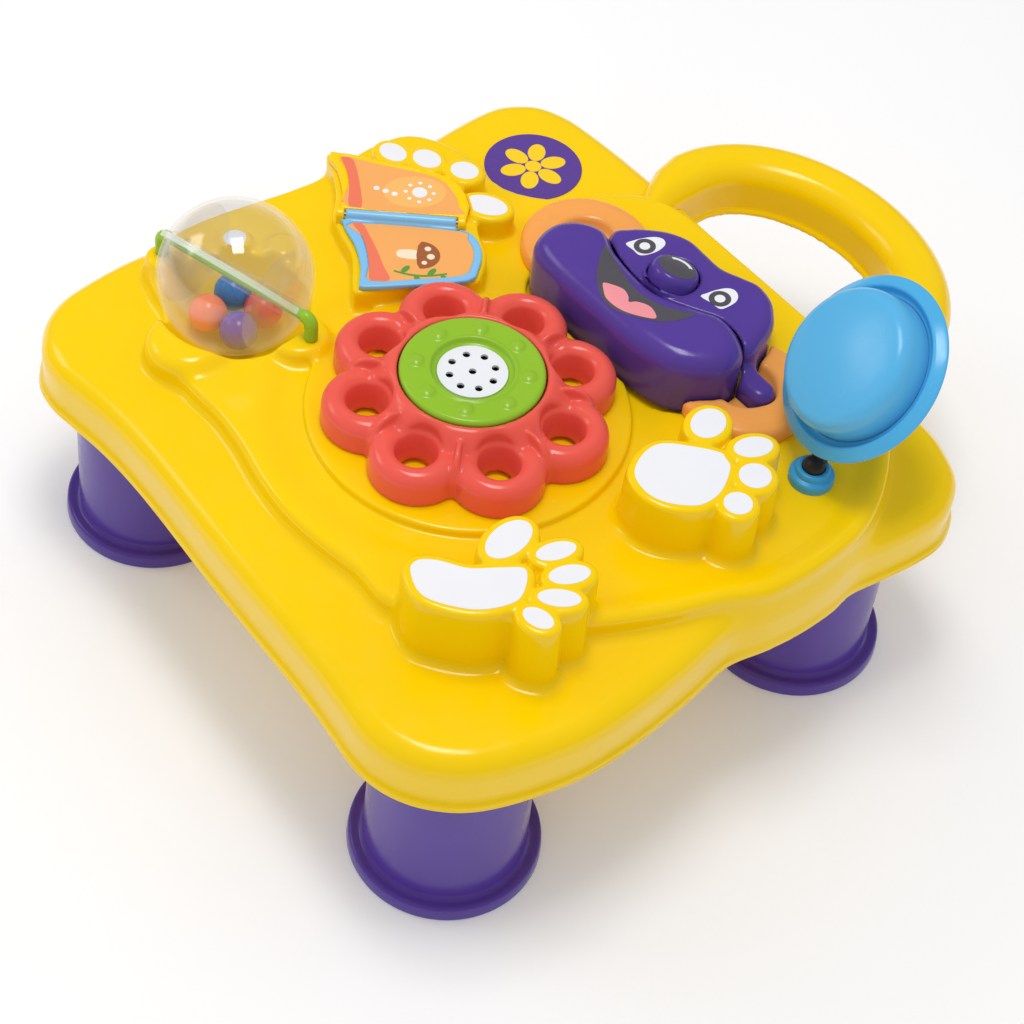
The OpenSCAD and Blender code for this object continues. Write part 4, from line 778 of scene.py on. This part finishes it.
def legs():
    """The four plug-in legs, each turned from one hollow profile."""
    foot_r, foot_h, low_r, high_r, spigot_r, spigot_top = 55, 9.5, 46.6, 44, 40, LEG_H + 16
    profile = [(0, 0), (foot_r - 1.2, 0)] + arc((foot_r - 1.2, 1.2), 1.2, -90, 0)
    profile += [(foot_r - 0.4, foot_h - 3.5)]
    profile += arc((foot_r - 3.2, foot_h - 2.6), 2.6, 0, 90, 7)
    profile += [(low_r + 3.4, foot_h)] + arc((low_r + 3.0, foot_h + 3.2), 3.2, 270, 180, 7)
    profile += [
        (low_r - 0.3, foot_h + 10), (high_r, LEG_H - 0.8), (high_r - 0.8, LEG_H),
        (spigot_r, LEG_H), (spigot_r, spigot_top - 2), (spigot_r - 1, spigot_top),
        (spigot_r - 3, spigot_top), (spigot_r - 3, LEG_H), (high_r - 3, LEG_H - 5),
        (low_r - 3, foot_h + 5.5), (foot_r - 4, foot_h - 3), (foot_r - 4, 3), (0, 3)]
    for name in ("leg_front_left", "leg_front_right", "leg_rear_left", "leg_rear_right"):
        place = placed(*middle(name)[:2], 0)
        leg = lathe(name.replace("leg_", "round_leg_"), [profile], place, 128)
        dress(leg, PURPLE, "table", name)


# ---- Flower ----

def flower():
    """The flower wheel: hollow petals with a funnel hole each and fins between them."""
    petals, finger_at, flower_r, petal_r, hub_r = 8, 59.5, 84.3, 26.4, 32.06
    neck_r, mouth_r, mouth_h, shell, draft = 12, 14, 3.5, 2.4, 0.04
    fin_at, fin_r, fin_w = 56, 12.5, 1.2
    top = RING_Z + 20
    floor = top - 3.3
    f = Field((-86.37, -86.23, WHEEL_LOW - 1.1), (86, 86, top + 13), 1.0)
    rho = f.circle((0, 0), 0)
    plan = rho - 61
    for spot in ring(petals, flower_r - petal_r, 22.5):
        plan = smooth_union(plan, f.circle(spot, petal_r), 5)
    crown = top - 1.4 * ramp(rho, 62, 54) + 9.6 * ramp(rho, 57, 43.6)
    d = f.block(plan, crown, 8, None, draft)
    for c, s in ring(petals, 1):
        along, across = f.x * c + f.y * s, f.y * c - f.x * s
        disc = np.hypot(along - fin_at, f.z - (top - 6)) - fin_r
        slab = np.abs(across) - fin_w - 0.14 * (top + 6.5 - f.z)
        fin = np.maximum(smooth_both(disc, slab, 1.5), 46 - along)
        d = smooth_union(d, np.maximum(fin, top - 8 - f.z), 2)
    mouth = neck_r - 3.4 * np.clip((top - mouth_h - f.z) / 15, 0, 1)
    mouth = mouth + (mouth_r - neck_r) * ramp(f.z, top - mouth_h, top)
    for spot in ring(petals, finger_at, 22.5):
        d = smooth_cut(d, f.circle(spot, mouth), 4)
    d = smooth_cut(d, np.maximum(rho - BUTTON_R - 0.9, floor - f.z), 1)
    d = cut(d, d + shell + 4 * ramp(rho, 64, 56))
    d = np.minimum(d, np.maximum(rho - hub_r - 3, f.z - floor))
    d = np.maximum(cut(d, rho - hub_r), WHEEL_LOW - f.z)
    dress(field_mesh("flower_petals", f, d, placed(*FLOWER, 0)), RED, "wheel",
          "flower_wheel")


def button():
    """The green music button with its ring of bumps and its dished middle."""
    edge_z, grille_r, bore, wall = BUTTON_TOP - 1.8, 19.9, 28.94, 2.4
    under, bump_r, bump_at = edge_z - 8, 8, 31.5
    f = Field((-43, -43, BUTTON_LOW - 1), (43, 43, BUTTON_TOP + 2), 0.7)
    profile = [(grille_r, edge_z - 4), (grille_r, edge_z - 3.2)]
    profile += arc((grille_r + 0.4, edge_z - 0.2), 3, -60, -10, 4)
    profile += arc((grille_r + 4.6, edge_z - 0.5), 1.1, 150, 40, 5)
    profile += [(grille_r + 6.8, edge_z - 0.25), (BUTTON_R - 4, edge_z)]
    profile += arc((BUTTON_R - 2.8, edge_z - 2.8), 2.8, 75, 0, 6)
    profile += [(BUTTON_R, under + 0.6), (BUTTON_R - 0.6, under),
                (BUTTON_R - wall, under), (BUTTON_R - wall, edge_z - wall), (bore, edge_z - wall),
                (bore, BUTTON_LOW), (bore - wall, BUTTON_LOW), (bore - wall, edge_z - 5.4),
                (17.4, edge_z - 5.4), (17.4, edge_z - 4)]
    d = f.turned((0, 0), profile)
    for x, y in ring(8, bump_at):
        bump = f.ball((x, y, BUTTON_TOP - bump_r), bump_r)
        d = smooth_union(d, np.maximum(bump, edge_z - 2 - f.z), 0.3)
    dress(field_mesh("music_button_cap", f, d, placed(*FLOWER, 0)), GREEN, "button",
          "music_button")


# ---- Face ----

def on_face(outline, n=4):
    """A smooth outline about the face's middle, on the deck."""
    return catmull(np.array(outline) + FACE, n)


def ear_profile():
    r, z = 39.5, PLATFORM_Z
    return ([(0, z), (r, z), (r, z + 6)] + arc((r - 5, z + 6), 5, 0, 70)
            + [(r - 8, z + 11.9), (r - 12, z + 12)] + arc((22, z + 7.6), 4.4, 70, 170)
            + [(16, z + 5.4), (0, z + 5)])


def arm_distance(f, grow):
    """Distance to the head's arm, which lies over the right ear."""
    y = FACE[1] + 18
    return f.path([(FACE[0] + 46, y, 8.5), (FACE[0] + 84, y, 8.5)]) - grow


def face():
    """The face: a muzzle and a nose that go down, the head behind them and the two ears."""
    muzzle, head = on_face(MUZZLE_LINE, 6), on_face(HEAD_LINE, 6)
    x, y = FACE
    wall = 2.5
    f = Field((x - 76, y - 38, MUZZLE_LOW - 1), (x + 76, y + 25, MUZZLE_TOP + 2), 1.0)
    plan = f.shape(muzzle)
    d = f.block(plan, MUZZLE_TOP, 13, MUZZLE_LOW)
    d = cut(d, f.block(plan + wall, MUZZLE_TOP - wall, 11))
    d = np.minimum(d, np.maximum(f.circle(MUZZLE_STEM, 7), f.z - MUZZLE_TOP + 2))
    muzzle_shell = field_mesh("muzzle_shell", f, np.maximum(d, MUZZLE_LOW - f.z))
    dress(muzzle_shell, PURPLE, "muzzle", "face_muzzle")

    f = Field((x - 96, y - 8, PLATFORM_Z - 1), (x + 96, y + 68, HEAD_TOP + 2), 1.0)
    d = f.block(f.shape(head), HEAD_TOP, 9)
    d = smooth_union(d, f.block(arm_distance(f, 0), PLATFORM_Z + 16, 6), 7)
    d = cut(d, d + wall)
    gap = f.shape(muzzle) - FACE_GAP
    d = smooth_cut(d, gap, 1.2)
    # The nose's cup, about its leaning axis
    lean = math.radians(NOSE_LEAN)
    dy, dz = f.y - NOSE_AT[1], f.z - NOSE_AT[2]
    up, side = dz * math.cos(lean) + dy * math.sin(lean), dy * math.cos(lean) - dz * math.sin(lean)
    rho = np.hypot(f.x - NOSE_AT[0], side)
    cup_r, well_r, stem_r, well_floor = 18, 15.6, 5.06, -8
    cup = np.maximum(rho - cup_r, np.maximum(up - 3, well_floor - 3 - up))
    d = np.minimum(d, cut(cup, gap))
    d = smooth_cut(d, np.maximum(rho - well_r, well_floor - up), 1.2)
    d = cut(d, np.maximum(rho - stem_r, np.abs(up - well_floor + 1.5) - 2))
    head_shell = field_mesh("head_shell", f, np.maximum(d, PLATFORM_Z - f.z))
    dress(head_shell, PURPLE, "table", "face_head")

    for side, name in ((-1, "left_ear"), (1, "right_ear")):
        centre = (x + 2.5 + side * 71, y + 15.5)
        f = Field((centre[0] - 41, centre[1] - 41, PLATFORM_Z - 1),
                  (centre[0] + 41, centre[1] + 41, PLATFORM_Z + 14), 1.0)
        room = np.minimum(f.shape(muzzle), f.shape(head)) - FACE_GAP
        room = np.minimum(room, arm_distance(f, 0.4))
        d = smooth_cut(f.turned(centre, ear_profile()), room, 2)
        dress(field_mesh(name + "_shell", f, d), ORANGE, "table", name)

    nose = placed(*NOSE_AT, 0, -NOSE_LEAN, "X")
    r, h = 15, 12
    profile = [(0, h - 0.3), (12, h - 0.5), (12.9, h - 1), (13.8, h - 2), (14.6, h - 4),
               (r, h - 7), (r, -4), (r - 2, -4), (r - 2, h - 4.5), (5, h - 4), (5, -12), (0, -12)]
    dress(lathe("nose_dome", [profile], nose), PURPLE, "nose", "nose_button")
    print_line = [(0, h - 0.6), (11.6, h - 0.8), (11.7, h - 0.35), (11.4, h - 0.22), (0, h - 0.02)]
    dress(lathe("nose_film", [print_line], nose), GREY_FILM, "nose", "nose_label")
    gleam = arc((0, 0), 9.4, 60, 160, 14) + arc((0, -0.2), 7.6, 155, 65, 14)
    dress(prism("nose_gleam", gleam, h - 0.4, h, nose, 0.05), WHITE_FILM, "nose", None)
    face_films(head_shell, muzzle_shell)


def face_films(head, muzzle):
    """The printed eyes and smile, which follow the shells that they lie on."""
    on_head, on_muzzle = tree_of(head), tree_of(muzzle)
    for k, (outline, ring_at) in enumerate(zip(EYE_LINES, EYE_RINGS)):
        eye = decal("eye_white_%d" % (k + 1), on_face(outline), on_head, 0.16,
                    WHITE_FILM, "table")
        if k == 0:
            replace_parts(eye, "eye_labels")
        for name, radius, lift, material in (("eye_ring", 6.8, 0.24, GREY_FILM),
                                             ("eye_spot", 3.3, 0.32, WHITE_FILM)):
            round_line = oval((np.array(ring_at) + FACE, radius * 0.92, radius, 0), 36)
            decal("%s_%d" % (name, k + 1), round_line, on_head, lift, material, "table")
    smile = decal("smile_film", on_face(SMILE_LINE, 5), on_muzzle, 0.12,
                  GREY_FILM, "muzzle")
    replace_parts(smile, "smile_label")
    decal("tongue_film", on_face(TONGUE_LINE), on_muzzle, 0.2, PINK_FILM,
          "muzzle")


# ---- Films laid on curved tops ----

def tree_of(obj):
    return BVHTree.FromPolygons([v.co for v in obj.data.vertices],
                                [p.vertices for p in obj.data.polygons])


def decal(name, outline, tree, lift, material, body):
    """A thin film that follows the surface below its outline, lifted off it a hair."""
    n = len(outline)
    plan, net = fine_net(outline)
    points, faces = [], []
    for px, py in plan:
        start = Vector((px * MM, (py + SHIFT) * MM, 0.4))
        hit = tree.ray_cast(start, Vector((0, 0, -1)))[0]
        points.append((px, py, hit.z / MM + lift))
    count = len(points)
    points += [(x, y, z - 0.5) for x, y, z in points]
    for face in net:
        faces += [list(face), [count + i for i in face[::-1]]]
    for k in range(n):
        j = (k + 1) % n
        faces.append([k, j, count + j, count + k])
    obj = add_mesh(name, points, faces)
    mend_sides(obj)
    return dress(crisp(obj, 50), material, body)


def fine_net(outline):
    """Points and small triangles that fill an outline. Its own points come first."""
    flat = bmesh.new()
    corners = [flat.verts.new((x, y, 0)) for x, y in outline]
    for a, b, c in cap(outline):
        flat.faces.new([corners[a], corners[b], corners[c]])
    for _ in range(3):
        longest = [e for e in flat.edges if not e.is_boundary and e.calc_length() > 3]
        if not longest:
            break
        bmesh.ops.subdivide_edges(flat, edges=longest, cuts=1)
        bmesh.ops.triangulate(flat, faces=flat.faces)
    flat.verts.index_update()
    order = {v: i for i, v in enumerate(flat.verts)}
    points = [(v.co.x, v.co.y) for v in flat.verts]
    faces = [[order[v] for v in face.verts] for face in flat.faces]
    flat.free()
    return points, faces


# ---- Globe ----

def globe():
    """The clear globe on its green axle, with two end chambers and four beads."""
    wall, divider, sleeve, bore, flange_w, flange_t = 2, 31, 5.6, 3.06, 2.8, 1.8
    tilted = placed(*GLOBE, AXLE_TURN, GLOBE_TILT, "X")
    axle = tilted @ Matrix.Rotation(math.pi / 2, 4, "Y")
    inner_r = GLOBE_R - wall
    top, inside = (math.degrees(math.acos(sleeve / r)) for r in (GLOBE_R, inner_r))
    end = [(bore, 48.2), (bore + 0.3, 48.5), (sleeve - 0.6, 48.5), (sleeve, 47.9)]
    body = end + arc((0, 0), GLOBE_R, top, -top, 65) + [(r, -z) for r, z in end[::-1]]
    shell = lathe("globe_shell", [body, arc((0, 0), inner_r, -inside, inside, 65)], axle, 128)
    clear_piece(shell, CLEAR)
    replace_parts(shell, "globe_front_half", "globe_back_half")
    low, high = divider - 0.8, divider + 0.8
    low_r, high_r = (math.sqrt(inner_r ** 2 - z ** 2) - 0.05 for z in (low, high))
    for k, side in enumerate((-1, 1)):
        plate = [(sleeve + 0.05, side * low), (low_r, side * low), (high_r, side * high),
                 (sleeve + 0.05, side * high)]
        clear_piece(lathe("globe_wall_%d" % (k + 1), [plate], axle, 128), CLEAR)
    rim_r, seat_r, open_at = GLOBE_R + flange_w, GLOBE_R + 0.02, 7.1
    for half, z0 in ((1, 0.03), (2, -flange_t)):
        z1 = z0 + flange_t - 0.03
        loop = [(seat_r, z0), (rim_r - 0.3, z0), (rim_r, z0 + 0.3), (rim_r, z1 - 0.3),
                (rim_r - 0.3, z1), (seat_r, z1)]
        for k, start in enumerate((open_at, 180 + open_at)):
            flange = sweep("globe_flange_%d%d" % (half, k), loop, tilted, start,
                           start + 180 - 2 * open_at, 64)
            clear_piece(flange, CLEAR_RIM)

    low, bend, thick = PLATFORM_Z + 7 - 14 + 0.3, 5, AXLE_R + 1
    path = [(AXLE_END, low, AXLE_R), (AXLE_END, low + 14, AXLE_R),
            (AXLE_END, low + 14.4, thick), (AXLE_END, low + 16, thick)]
    path += [(x, z, thick) for x, z in arc((AXLE_END - bend, GLOBE[2] - bend), bend, 0, 90, 9)]
    path += [(49.6, GLOBE[2], AXLE_R + 0.8), (48.9, GLOBE[2], AXLE_R)]
    path += [(-x, z, r) for x, z, r in path[::-1]]
    rod = tube("globe_axle_rod", [(x, 0, z) for x, z, r in path], [r for x, z, r in path], 28,
               placed(*GLOBE[:2], 0, AXLE_TURN))
    dress(rod, GREEN, "table", "globe_axle")

    r = 11.2
    seam = ([(0, -r)] + arc((0, 0), r, -90, -2, 31)[1:] + [(r - 0.25, -0.2), (r - 0.25, 0.2)]
            + arc((0, 0), r, 2, 90, 31)[:-1] + [(0, r)])
    for k, (name, (material, slot)) in enumerate(BEADS.items()):
        place = placed(*middle(name), 70 * k, 35 + 40 * k)
        bead = lathe(name.replace("bead", "ball"), [seam], place, 64)
        dress(bead, material, "globe", name)


def clear_piece(obj, material):
    """Dresses a clear piece of the globe. It throws no shadow on what lies inside it."""
    dress(obj, material, "globe", None)
    obj.visible_shadow = obj.visible_diffuse = False


# ---- Book ----

def book():
    """The book: a shallow tray on the deck and one stiff page that turns on its hinge."""
    place = placed(*BOOK_AT, 0, BOOK_TURN)
    inset_h, seam = 0.95, 0.35
    f = Field((-52, -16, BOOK_Z - 1), (3, 76, LEAF_TOP + 1), 0.7)
    d = f.block(f.shape(LEAF_LINE) + 0.1, LEAF_TOP, 1.3, BOOK_Z)
    card = catmull(LEAF_CARD, 3)
    d = smooth_cut(d, np.maximum(f.shape(card) - seam, LEAF_TOP - inset_h - f.z), 0.5)
    dress(field_mesh("book_tray", f, d, place), YELLOW, "table", "book_leaf")

    def lay(name, outline, low, high, material, body):
        return dress(prism(name, outline, low, high, place, 0.08), material, body)

    z = LEAF_TOP - inset_h
    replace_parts(lay("leaf_print", card, z - 0.2, z + 0.3, CARD_FILM, "table"), "leaf_card")
    sun = (-19, 43)
    marks = [("glow", oval(((-19, 40), 14, 19, 8), 40), 0.36, GLOW_FILM),
             ("stripe", catmull(LEAF_STRIPE, 3), 0.38, STRIPE_FILM),
             ("sun", oval((sun, 4.6, 4.6, 0), 28), 0.44, WHITE_FILM)]
    marks += [("ray_%d" % k, oval((spot, 1.3, 1.3, 0), 14), 0.44, WHITE_FILM)
              for k, spot in enumerate(ring(8, 8.4, 0, sun))]
    marks += [("dot_%d" % k, oval(((-20 + 2 * k, 17 + 5.5 * k), 1.9, 1.9, 0), 16), 0.44,
               WHITE_FILM) for k in range(3)]
    for name, outline, depth, material in marks:
        lay("leaf_print_" + name, outline, z, z + depth, material, "table")

    barrel_u, barrel_z, barrel_v, pin_r, window = 5.5, PAGE_Z + 4.5, 65.7, 1.29, 1.2
    f = Field((1.5, -3, PAGE_Z - 1), (67, 84, PAGE_Z + 9), 0.7)
    from_middle = np.abs(f.z - PAGE_Z - PAGE_T / 2)
    d = rounded(f.shape(catmull(PAGE_LINE, 3)), from_middle - PAGE_T / 2, 1)
    card = catmull(PAGE_CARD, 3)
    d = smooth_cut(d, np.maximum(f.shape(card) - seam, PAGE_T / 2 - window - from_middle), 0.7)
    rod = np.hypot(f.x - barrel_u, f.z - barrel_z)
    ends = np.maximum(0.3 - f.y, f.y - barrel_v)
    d = smooth_union(d, smooth_both(rod - 3, ends, 0.6), 1.2)
    d = cut(cut(d, rod - pin_r), np.maximum(rod - 3.6, -ends))
    dress(field_mesh("page_plate", f, d, place), PAGE_BLUE, "page", "page_frame")

    z = PAGE_Z + PAGE_T - window
    cards = lay("page_print", card, z - 0.1, z + 0.3, CARD_FILM, "page")
    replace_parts(cards, "page_cards")
    stalk = [(49 + 2.6 * math.sin(t * 3.4), 31 + 31 * t) for t in np.linspace(0, 1, 14)]
    marks = [("stripe", catmull(PAGE_STRIPE, 3), 0.38, STRIPE_FILM),
             ("stem", catmull([(31, 33), (37, 33), (37.6, 44.5), (30.6, 44.5)]), 0.42,
              CREAM_FILM),
             ("hat", arc((34, 46), 11.5, 0, 180, 19) + [(26, 44.2), (34, 43.4), (42, 44.2)],
              0.46, BROWN_FILM)]
    marks += [("spot_%d" % k, oval((spot, r, r, 0), 16), 0.52, CREAM_FILM)
              for k, (spot, r) in enumerate((((28.5, 50), 2), ((35, 52), 2.4),
                                             ((40.5, 48.4), 1.7)))]
    marks.append(("vine", [(u - 0.8, v) for u, v in stalk]
                  + [(u + 0.8, v) for u, v in stalk[::-1]], 0.42, LEAF_FILM))
    for k, t in enumerate((0.15, 0.4, 0.65, 0.9)):
        away, lean = (3.4, 35) if k % 2 else (-3.4, 145)
        spot = (49 + 2.6 * math.sin(t * 3.4) + away, 33 + 31 * t)
        marks.append(("leaf_%d" % k, oval((spot, 3.6, 1.8, lean), 18), 0.46, LEAF_FILM))
    for name, outline, depth, material in marks:
        lay("page_print_" + name, outline, z - 0.1, z + depth, material, "page")
    z = PAGE_Z + window
    lay("page_back_print", card, z - 0.3, z + 0.1, CARD_FILM, "page")
    lay("page_back_stripe", catmull(PAGE_STRIPE, 3), z - 0.38, z, STRIPE_FILM, "page")


# ---- Dish ----

def dish():
    """The dish on its spring, with a domed cap in its middle and a ball joint at its foot."""
    cap_h, hub_back, bend, ball_r = 24, 12, 9, 6.5
    aim = placed(*DISH_AT, DISH_Z, DISH_LOOK, DISH_LEAN)
    r, c = DISH_R, CAP_R
    rim = [(0, -19), (8.6, -19)] + arc((8.6, -17.6), 1.4, -80, 0, 5)
    rim += [(10, -8)] + arc((14, -8), 4, 180, 100) + [(c, -4), (r - 6, -3)]
    rim += arc((r - 1.2, -1.2), 1.2, -110, 50, 9) + [(r - 3, 1.1), (r - 4.5, 2.2)]
    rim += arc((r - 6.4, 1), 2, 55, 150, 8) + [(r - 9, 0.6), (r - 9.8, -0.2)]
    rim += [(c + 1.4, -0.6), (c + 0.4, -0.7), (c + 0.4, -1.4), (0, -1.4)]
    dress(lathe("dish_ring", [rim], aim, 128), BLUE, "dish", "dish_rim")
    dome = [(c - 2.6, -1.3), (c - 0.5, -1.3), (c, -0.8), (c - 0.5, cap_h - 3.4 - bend)]
    dome += arc((c - 0.6 - bend, cap_h - 2.9 - bend), bend, 6, 74, 12)
    dome += [(26, cap_h - 1.9), (18, cap_h - 0.9), (9, cap_h - 0.25), (0, cap_h),
             (0, cap_h - 2.6), (20, cap_h - 3.6), (c - 8, cap_h - 8), (c - 2.6, 4)]
    dress(lathe("dish_dome", [dome], aim, 128), SKY, "dish", "dish_cap")

    foot = Vector((*DISH_FOOT, PLATFORM_Z + 10))
    way = aim @ Vector((0, 0, -hub_back)) - foot
    up = Matrix.Translation(foot) @ way.to_track_quat("Z", "Y").to_matrix().to_4x4()
    spring = coil("dish_spring_wire", 3.7, 0.9, 5.85, way.length + 0.9, 17, up)
    dress(spring, SPRING, "dish", "dish_spring")
    boot = [(0, -ball_r)] + arc((0, 0), ball_r, -84, 48, 25)
    boot += [(4.9, 5.4), (4.9, 6.6), (4.3, 7.1), (0, 7.1)]
    dress(lathe("dish_ball", [boot], up, 64), DARK, "dish_joint", "dish_boot")
    z, seat_r = PLATFORM_Z, ball_r + 0.3
    base = [(0, z - 7), (5, z - 7), (5, z), (13, z), (13, z + 4)]
    base += arc((11, z + 4), 2, 0, 80) + arc((10.6, z + 6.8), 0.8, 240, 190, 3)
    base += [(9.8, z + 8.6)] + arc((8.4, z + 8.7), 1.3, 0, 90)
    base += [(7.2, z + 10)] + arc((0, z + 10), seat_r, -2, -90, 14)[:-1] + [(0, z + 10 - seat_r)]
    dress(lathe("dish_foot", [base], placed(*DISH_FOOT, 0), 96), BASE_BLUE, "table",
          "dish_base")


# ---- Labels and badge ----

def prints():
    """The white film prints on the hand, the paw and the toes, and the round badge."""
    shy = 0.7
    leaf = leaf_place(LEAF_LINE)
    for name, outlines, top, node in (
            ("hand_film", [oval(o, 40, -shy) for o in FINGERS]
             + [inset(catmull(PALM_LINE, 6), shy)], HAND_TOP, "hand_print_label"),
            ("paw_film", [oval(o, 40, -shy) for o in PAW_TOES]
             + [inset(catmull(PAW_LINE, 6), shy)], PAW_TOP, "paw_print_label"),
            ("toe_film", [clear_of(oval(o, 40, -shy), leaf, 1.5) for o in TOES], TOE_TOP,
             "toe_labels"),
            ("small_toe_film", [oval(SMALL_TOE, 32, -shy)], SMALL_TOE_TOP, None)):
        for k, outline in enumerate(outlines):
            piece = prism("%s_%d" % (name, k + 1), outline, top - 0.3, top + 0.28, None, 0.2)
            dress(piece, WHITE_FILM, "table", node if k == 0 else None)

    badge_r, petals, start, low, high = 31, 6, 12, 0.3, 0.62
    place = placed(*BADGE[:2], DECK_Z)
    disc = prism("badge_film", oval(((0, 0), badge_r, badge_r, 0), 96), -0.3, 0.5, place, 0.15)
    dress(disc, BADGE_FILM, "table", "round_badge")
    for k, spot in enumerate(ring(petals, 13.5, start)):
        line = oval((spot, 8.2, 5.6, start + 360 / petals * k), 28)
        dress(prism("badge_petal_%d" % (k + 1), line, low, high, place), YELLOW_FILM, "table")
    heart = prism("badge_middle", oval(((0, 0), 5.2, 5.2, 0), 32), low, high, place)
    dress(heart, YELLOW_FILM, "table")


def clear_of(outline, wall, gap):
    """An outline with the points that lie too near a wall's inside drawn to its middle."""
    outline = np.array(outline, float)
    centre = outline.mean(0)
    near = distance(*outline.T, wall) < gap
    while near.any():
        outline[near] += (centre - outline[near]) * 0.04
        near = distance(*outline.T, wall) < gap
    return outline


def return_springs():
    """The springs under the buttons, drawn at their shortest because a mesh can't give way."""
    spare = 0.2
    for name, node, mean, wire, travel, turns in (
            ("button_coil", "button_spring", 27.4, 0.6, 2.5, 4),
            ("muzzle_coil", "muzzle_spring", 8.8, 0.8, 3, 6)):
        low, high = box_mm(node)
        place = placed(*middle(node)[:2], 0)
        piece = coil(name, mean, wire, low[2], high[2] - travel - spare, turns, place)
        dress(piece, STEEL, "table", node)
    piece = coil("nose_coil", 6.7, 0.7, -8, 4.3, 5, placed(*NOSE_AT, 0, -NOSE_LEAN, "X"))
    dress(piece, STEEL, "table", "nose_spring")


def main():
    deck()
    globe()
    book()
    dish()
    prints()
    book_lugs()
    handle()
    legs()
    flower()
    button()
    face()
    return_springs()


main()

# ---- CAD nodes that stay, with their materials ----
NODE_MATERIALS = {
    YELLOW: ("bottom_cover", "battery_door"), CELL: ("battery_cells",),
    STEEL: ("cover_screws", "battery_door_screw", "battery_contacts", "board_screws",
            "hub_screws", "face_screws", "muzzle_clip", "book_hinge_pin"),
    DARK: ("switch_body", "switch_knob", "muzzle_switch", "speaker"),
    BOARD: ("circuit_board", "nose_switch"),
    WHITE: ("wheel_hub", "retaining_ring", "speaker_grille")}
for material, names in NODE_MATERIALS.items():
    for slot in [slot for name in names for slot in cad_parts[name].material_slots]:
        slot.material = material


# ---- Stage ----

def stage():
    """The pale floor, the white studio round it and its two lamps."""
    mesh = bpy.data.meshes.new("floor")
    size = 6
    mesh.from_pydata([(-size, -size, 0), (size, -size, 0), (size, size, 0), (-size, size, 0)],
                     [], [[0, 1, 2, 3]])
    floor = bpy.data.objects.new("floor", mesh)
    bpy.context.collection.objects.link(floor)
    n = new_material("floor_paper")
    n.feed(n.shader, {
        "Base Color": n.mix(n.noise(6, 3), (0.93, 0.93, 0.935, 1), (0.96, 0.96, 0.965, 1)),
        "Normal": n.bump(n.noise(500, 3), 0.03, 0.0002), "Roughness": 0.85,
        "Specular IOR Level": 0.1, "Emission Color": (1, 1, 1, 1), "Emission Strength": 0.09})
    mesh.materials.append(n.owner)

    n = Nodes(bpy.data.worlds.new("studio"))
    bpy.context.scene.world = n.owner
    back = n.feed(n.tree.nodes["Background"], {"Color": (1, 1, 1, 1), "Strength": 0.68})
    seen, mirrored = (n.new("Background", {"Strength": s}) for s in (1, 0.2))
    lit = n.blend(n.new("LightPath", {}, "Is Glossy Ray"), back.outputs[0], mirrored)
    whole = n.blend(n.new("LightPath", {}, "Is Camera Ray"), lit, seen)
    n.feed(n.tree.nodes["World Output"], {"Surface": whole})

    target = Vector((0, 0, 0.15))
    for name, at, size, power in (("key_light", (-0.05, -0.1, 1.65), (0.6, 0.4), 8),
                                  ("side_light", (-1.2, -0.9, 1.1), (0.7, 0.5), 3)):
        light = bpy.data.lights.new(name, "AREA")
        light.shape = "RECTANGLE"
        light.size, light.size_y = size
        light.energy = power
        obj = bpy.data.objects.new(name, light)
        obj.location = at
        obj.rotation_euler = (target - Vector(at)).to_track_quat("-Z", "Y").to_euler()
        bpy.context.collection.objects.link(obj)


def camera():
    """The photograph's view, worked out from the feet and the flower's ring."""
    data = bpy.data.cameras.new("camera")
    data.lens = 79.17
    data.sensor_width = 36
    data.clip_start, data.clip_end = 0.05, 20
    obj = bpy.data.objects.new("camera", data)
    bpy.context.collection.objects.link(obj)
    right = Vector((0.6154, 0.7835, 0.0878))
    up = Vector((-0.6336, 0.4254, 0.6462))
    back = Vector((0.4691, -0.4533, 0.7580))
    turn = Matrix((right, up, back)).transposed().to_4x4()
    spot = Vector((652.7, -600.5 + SHIFT, 1082.8)) * MM
    obj.matrix_world = Matrix.Translation(spot) @ turn
    bpy.context.scene.camera = obj


stage()
camera()
bpy.context.scene.view_settings.view_transform = "Standard"
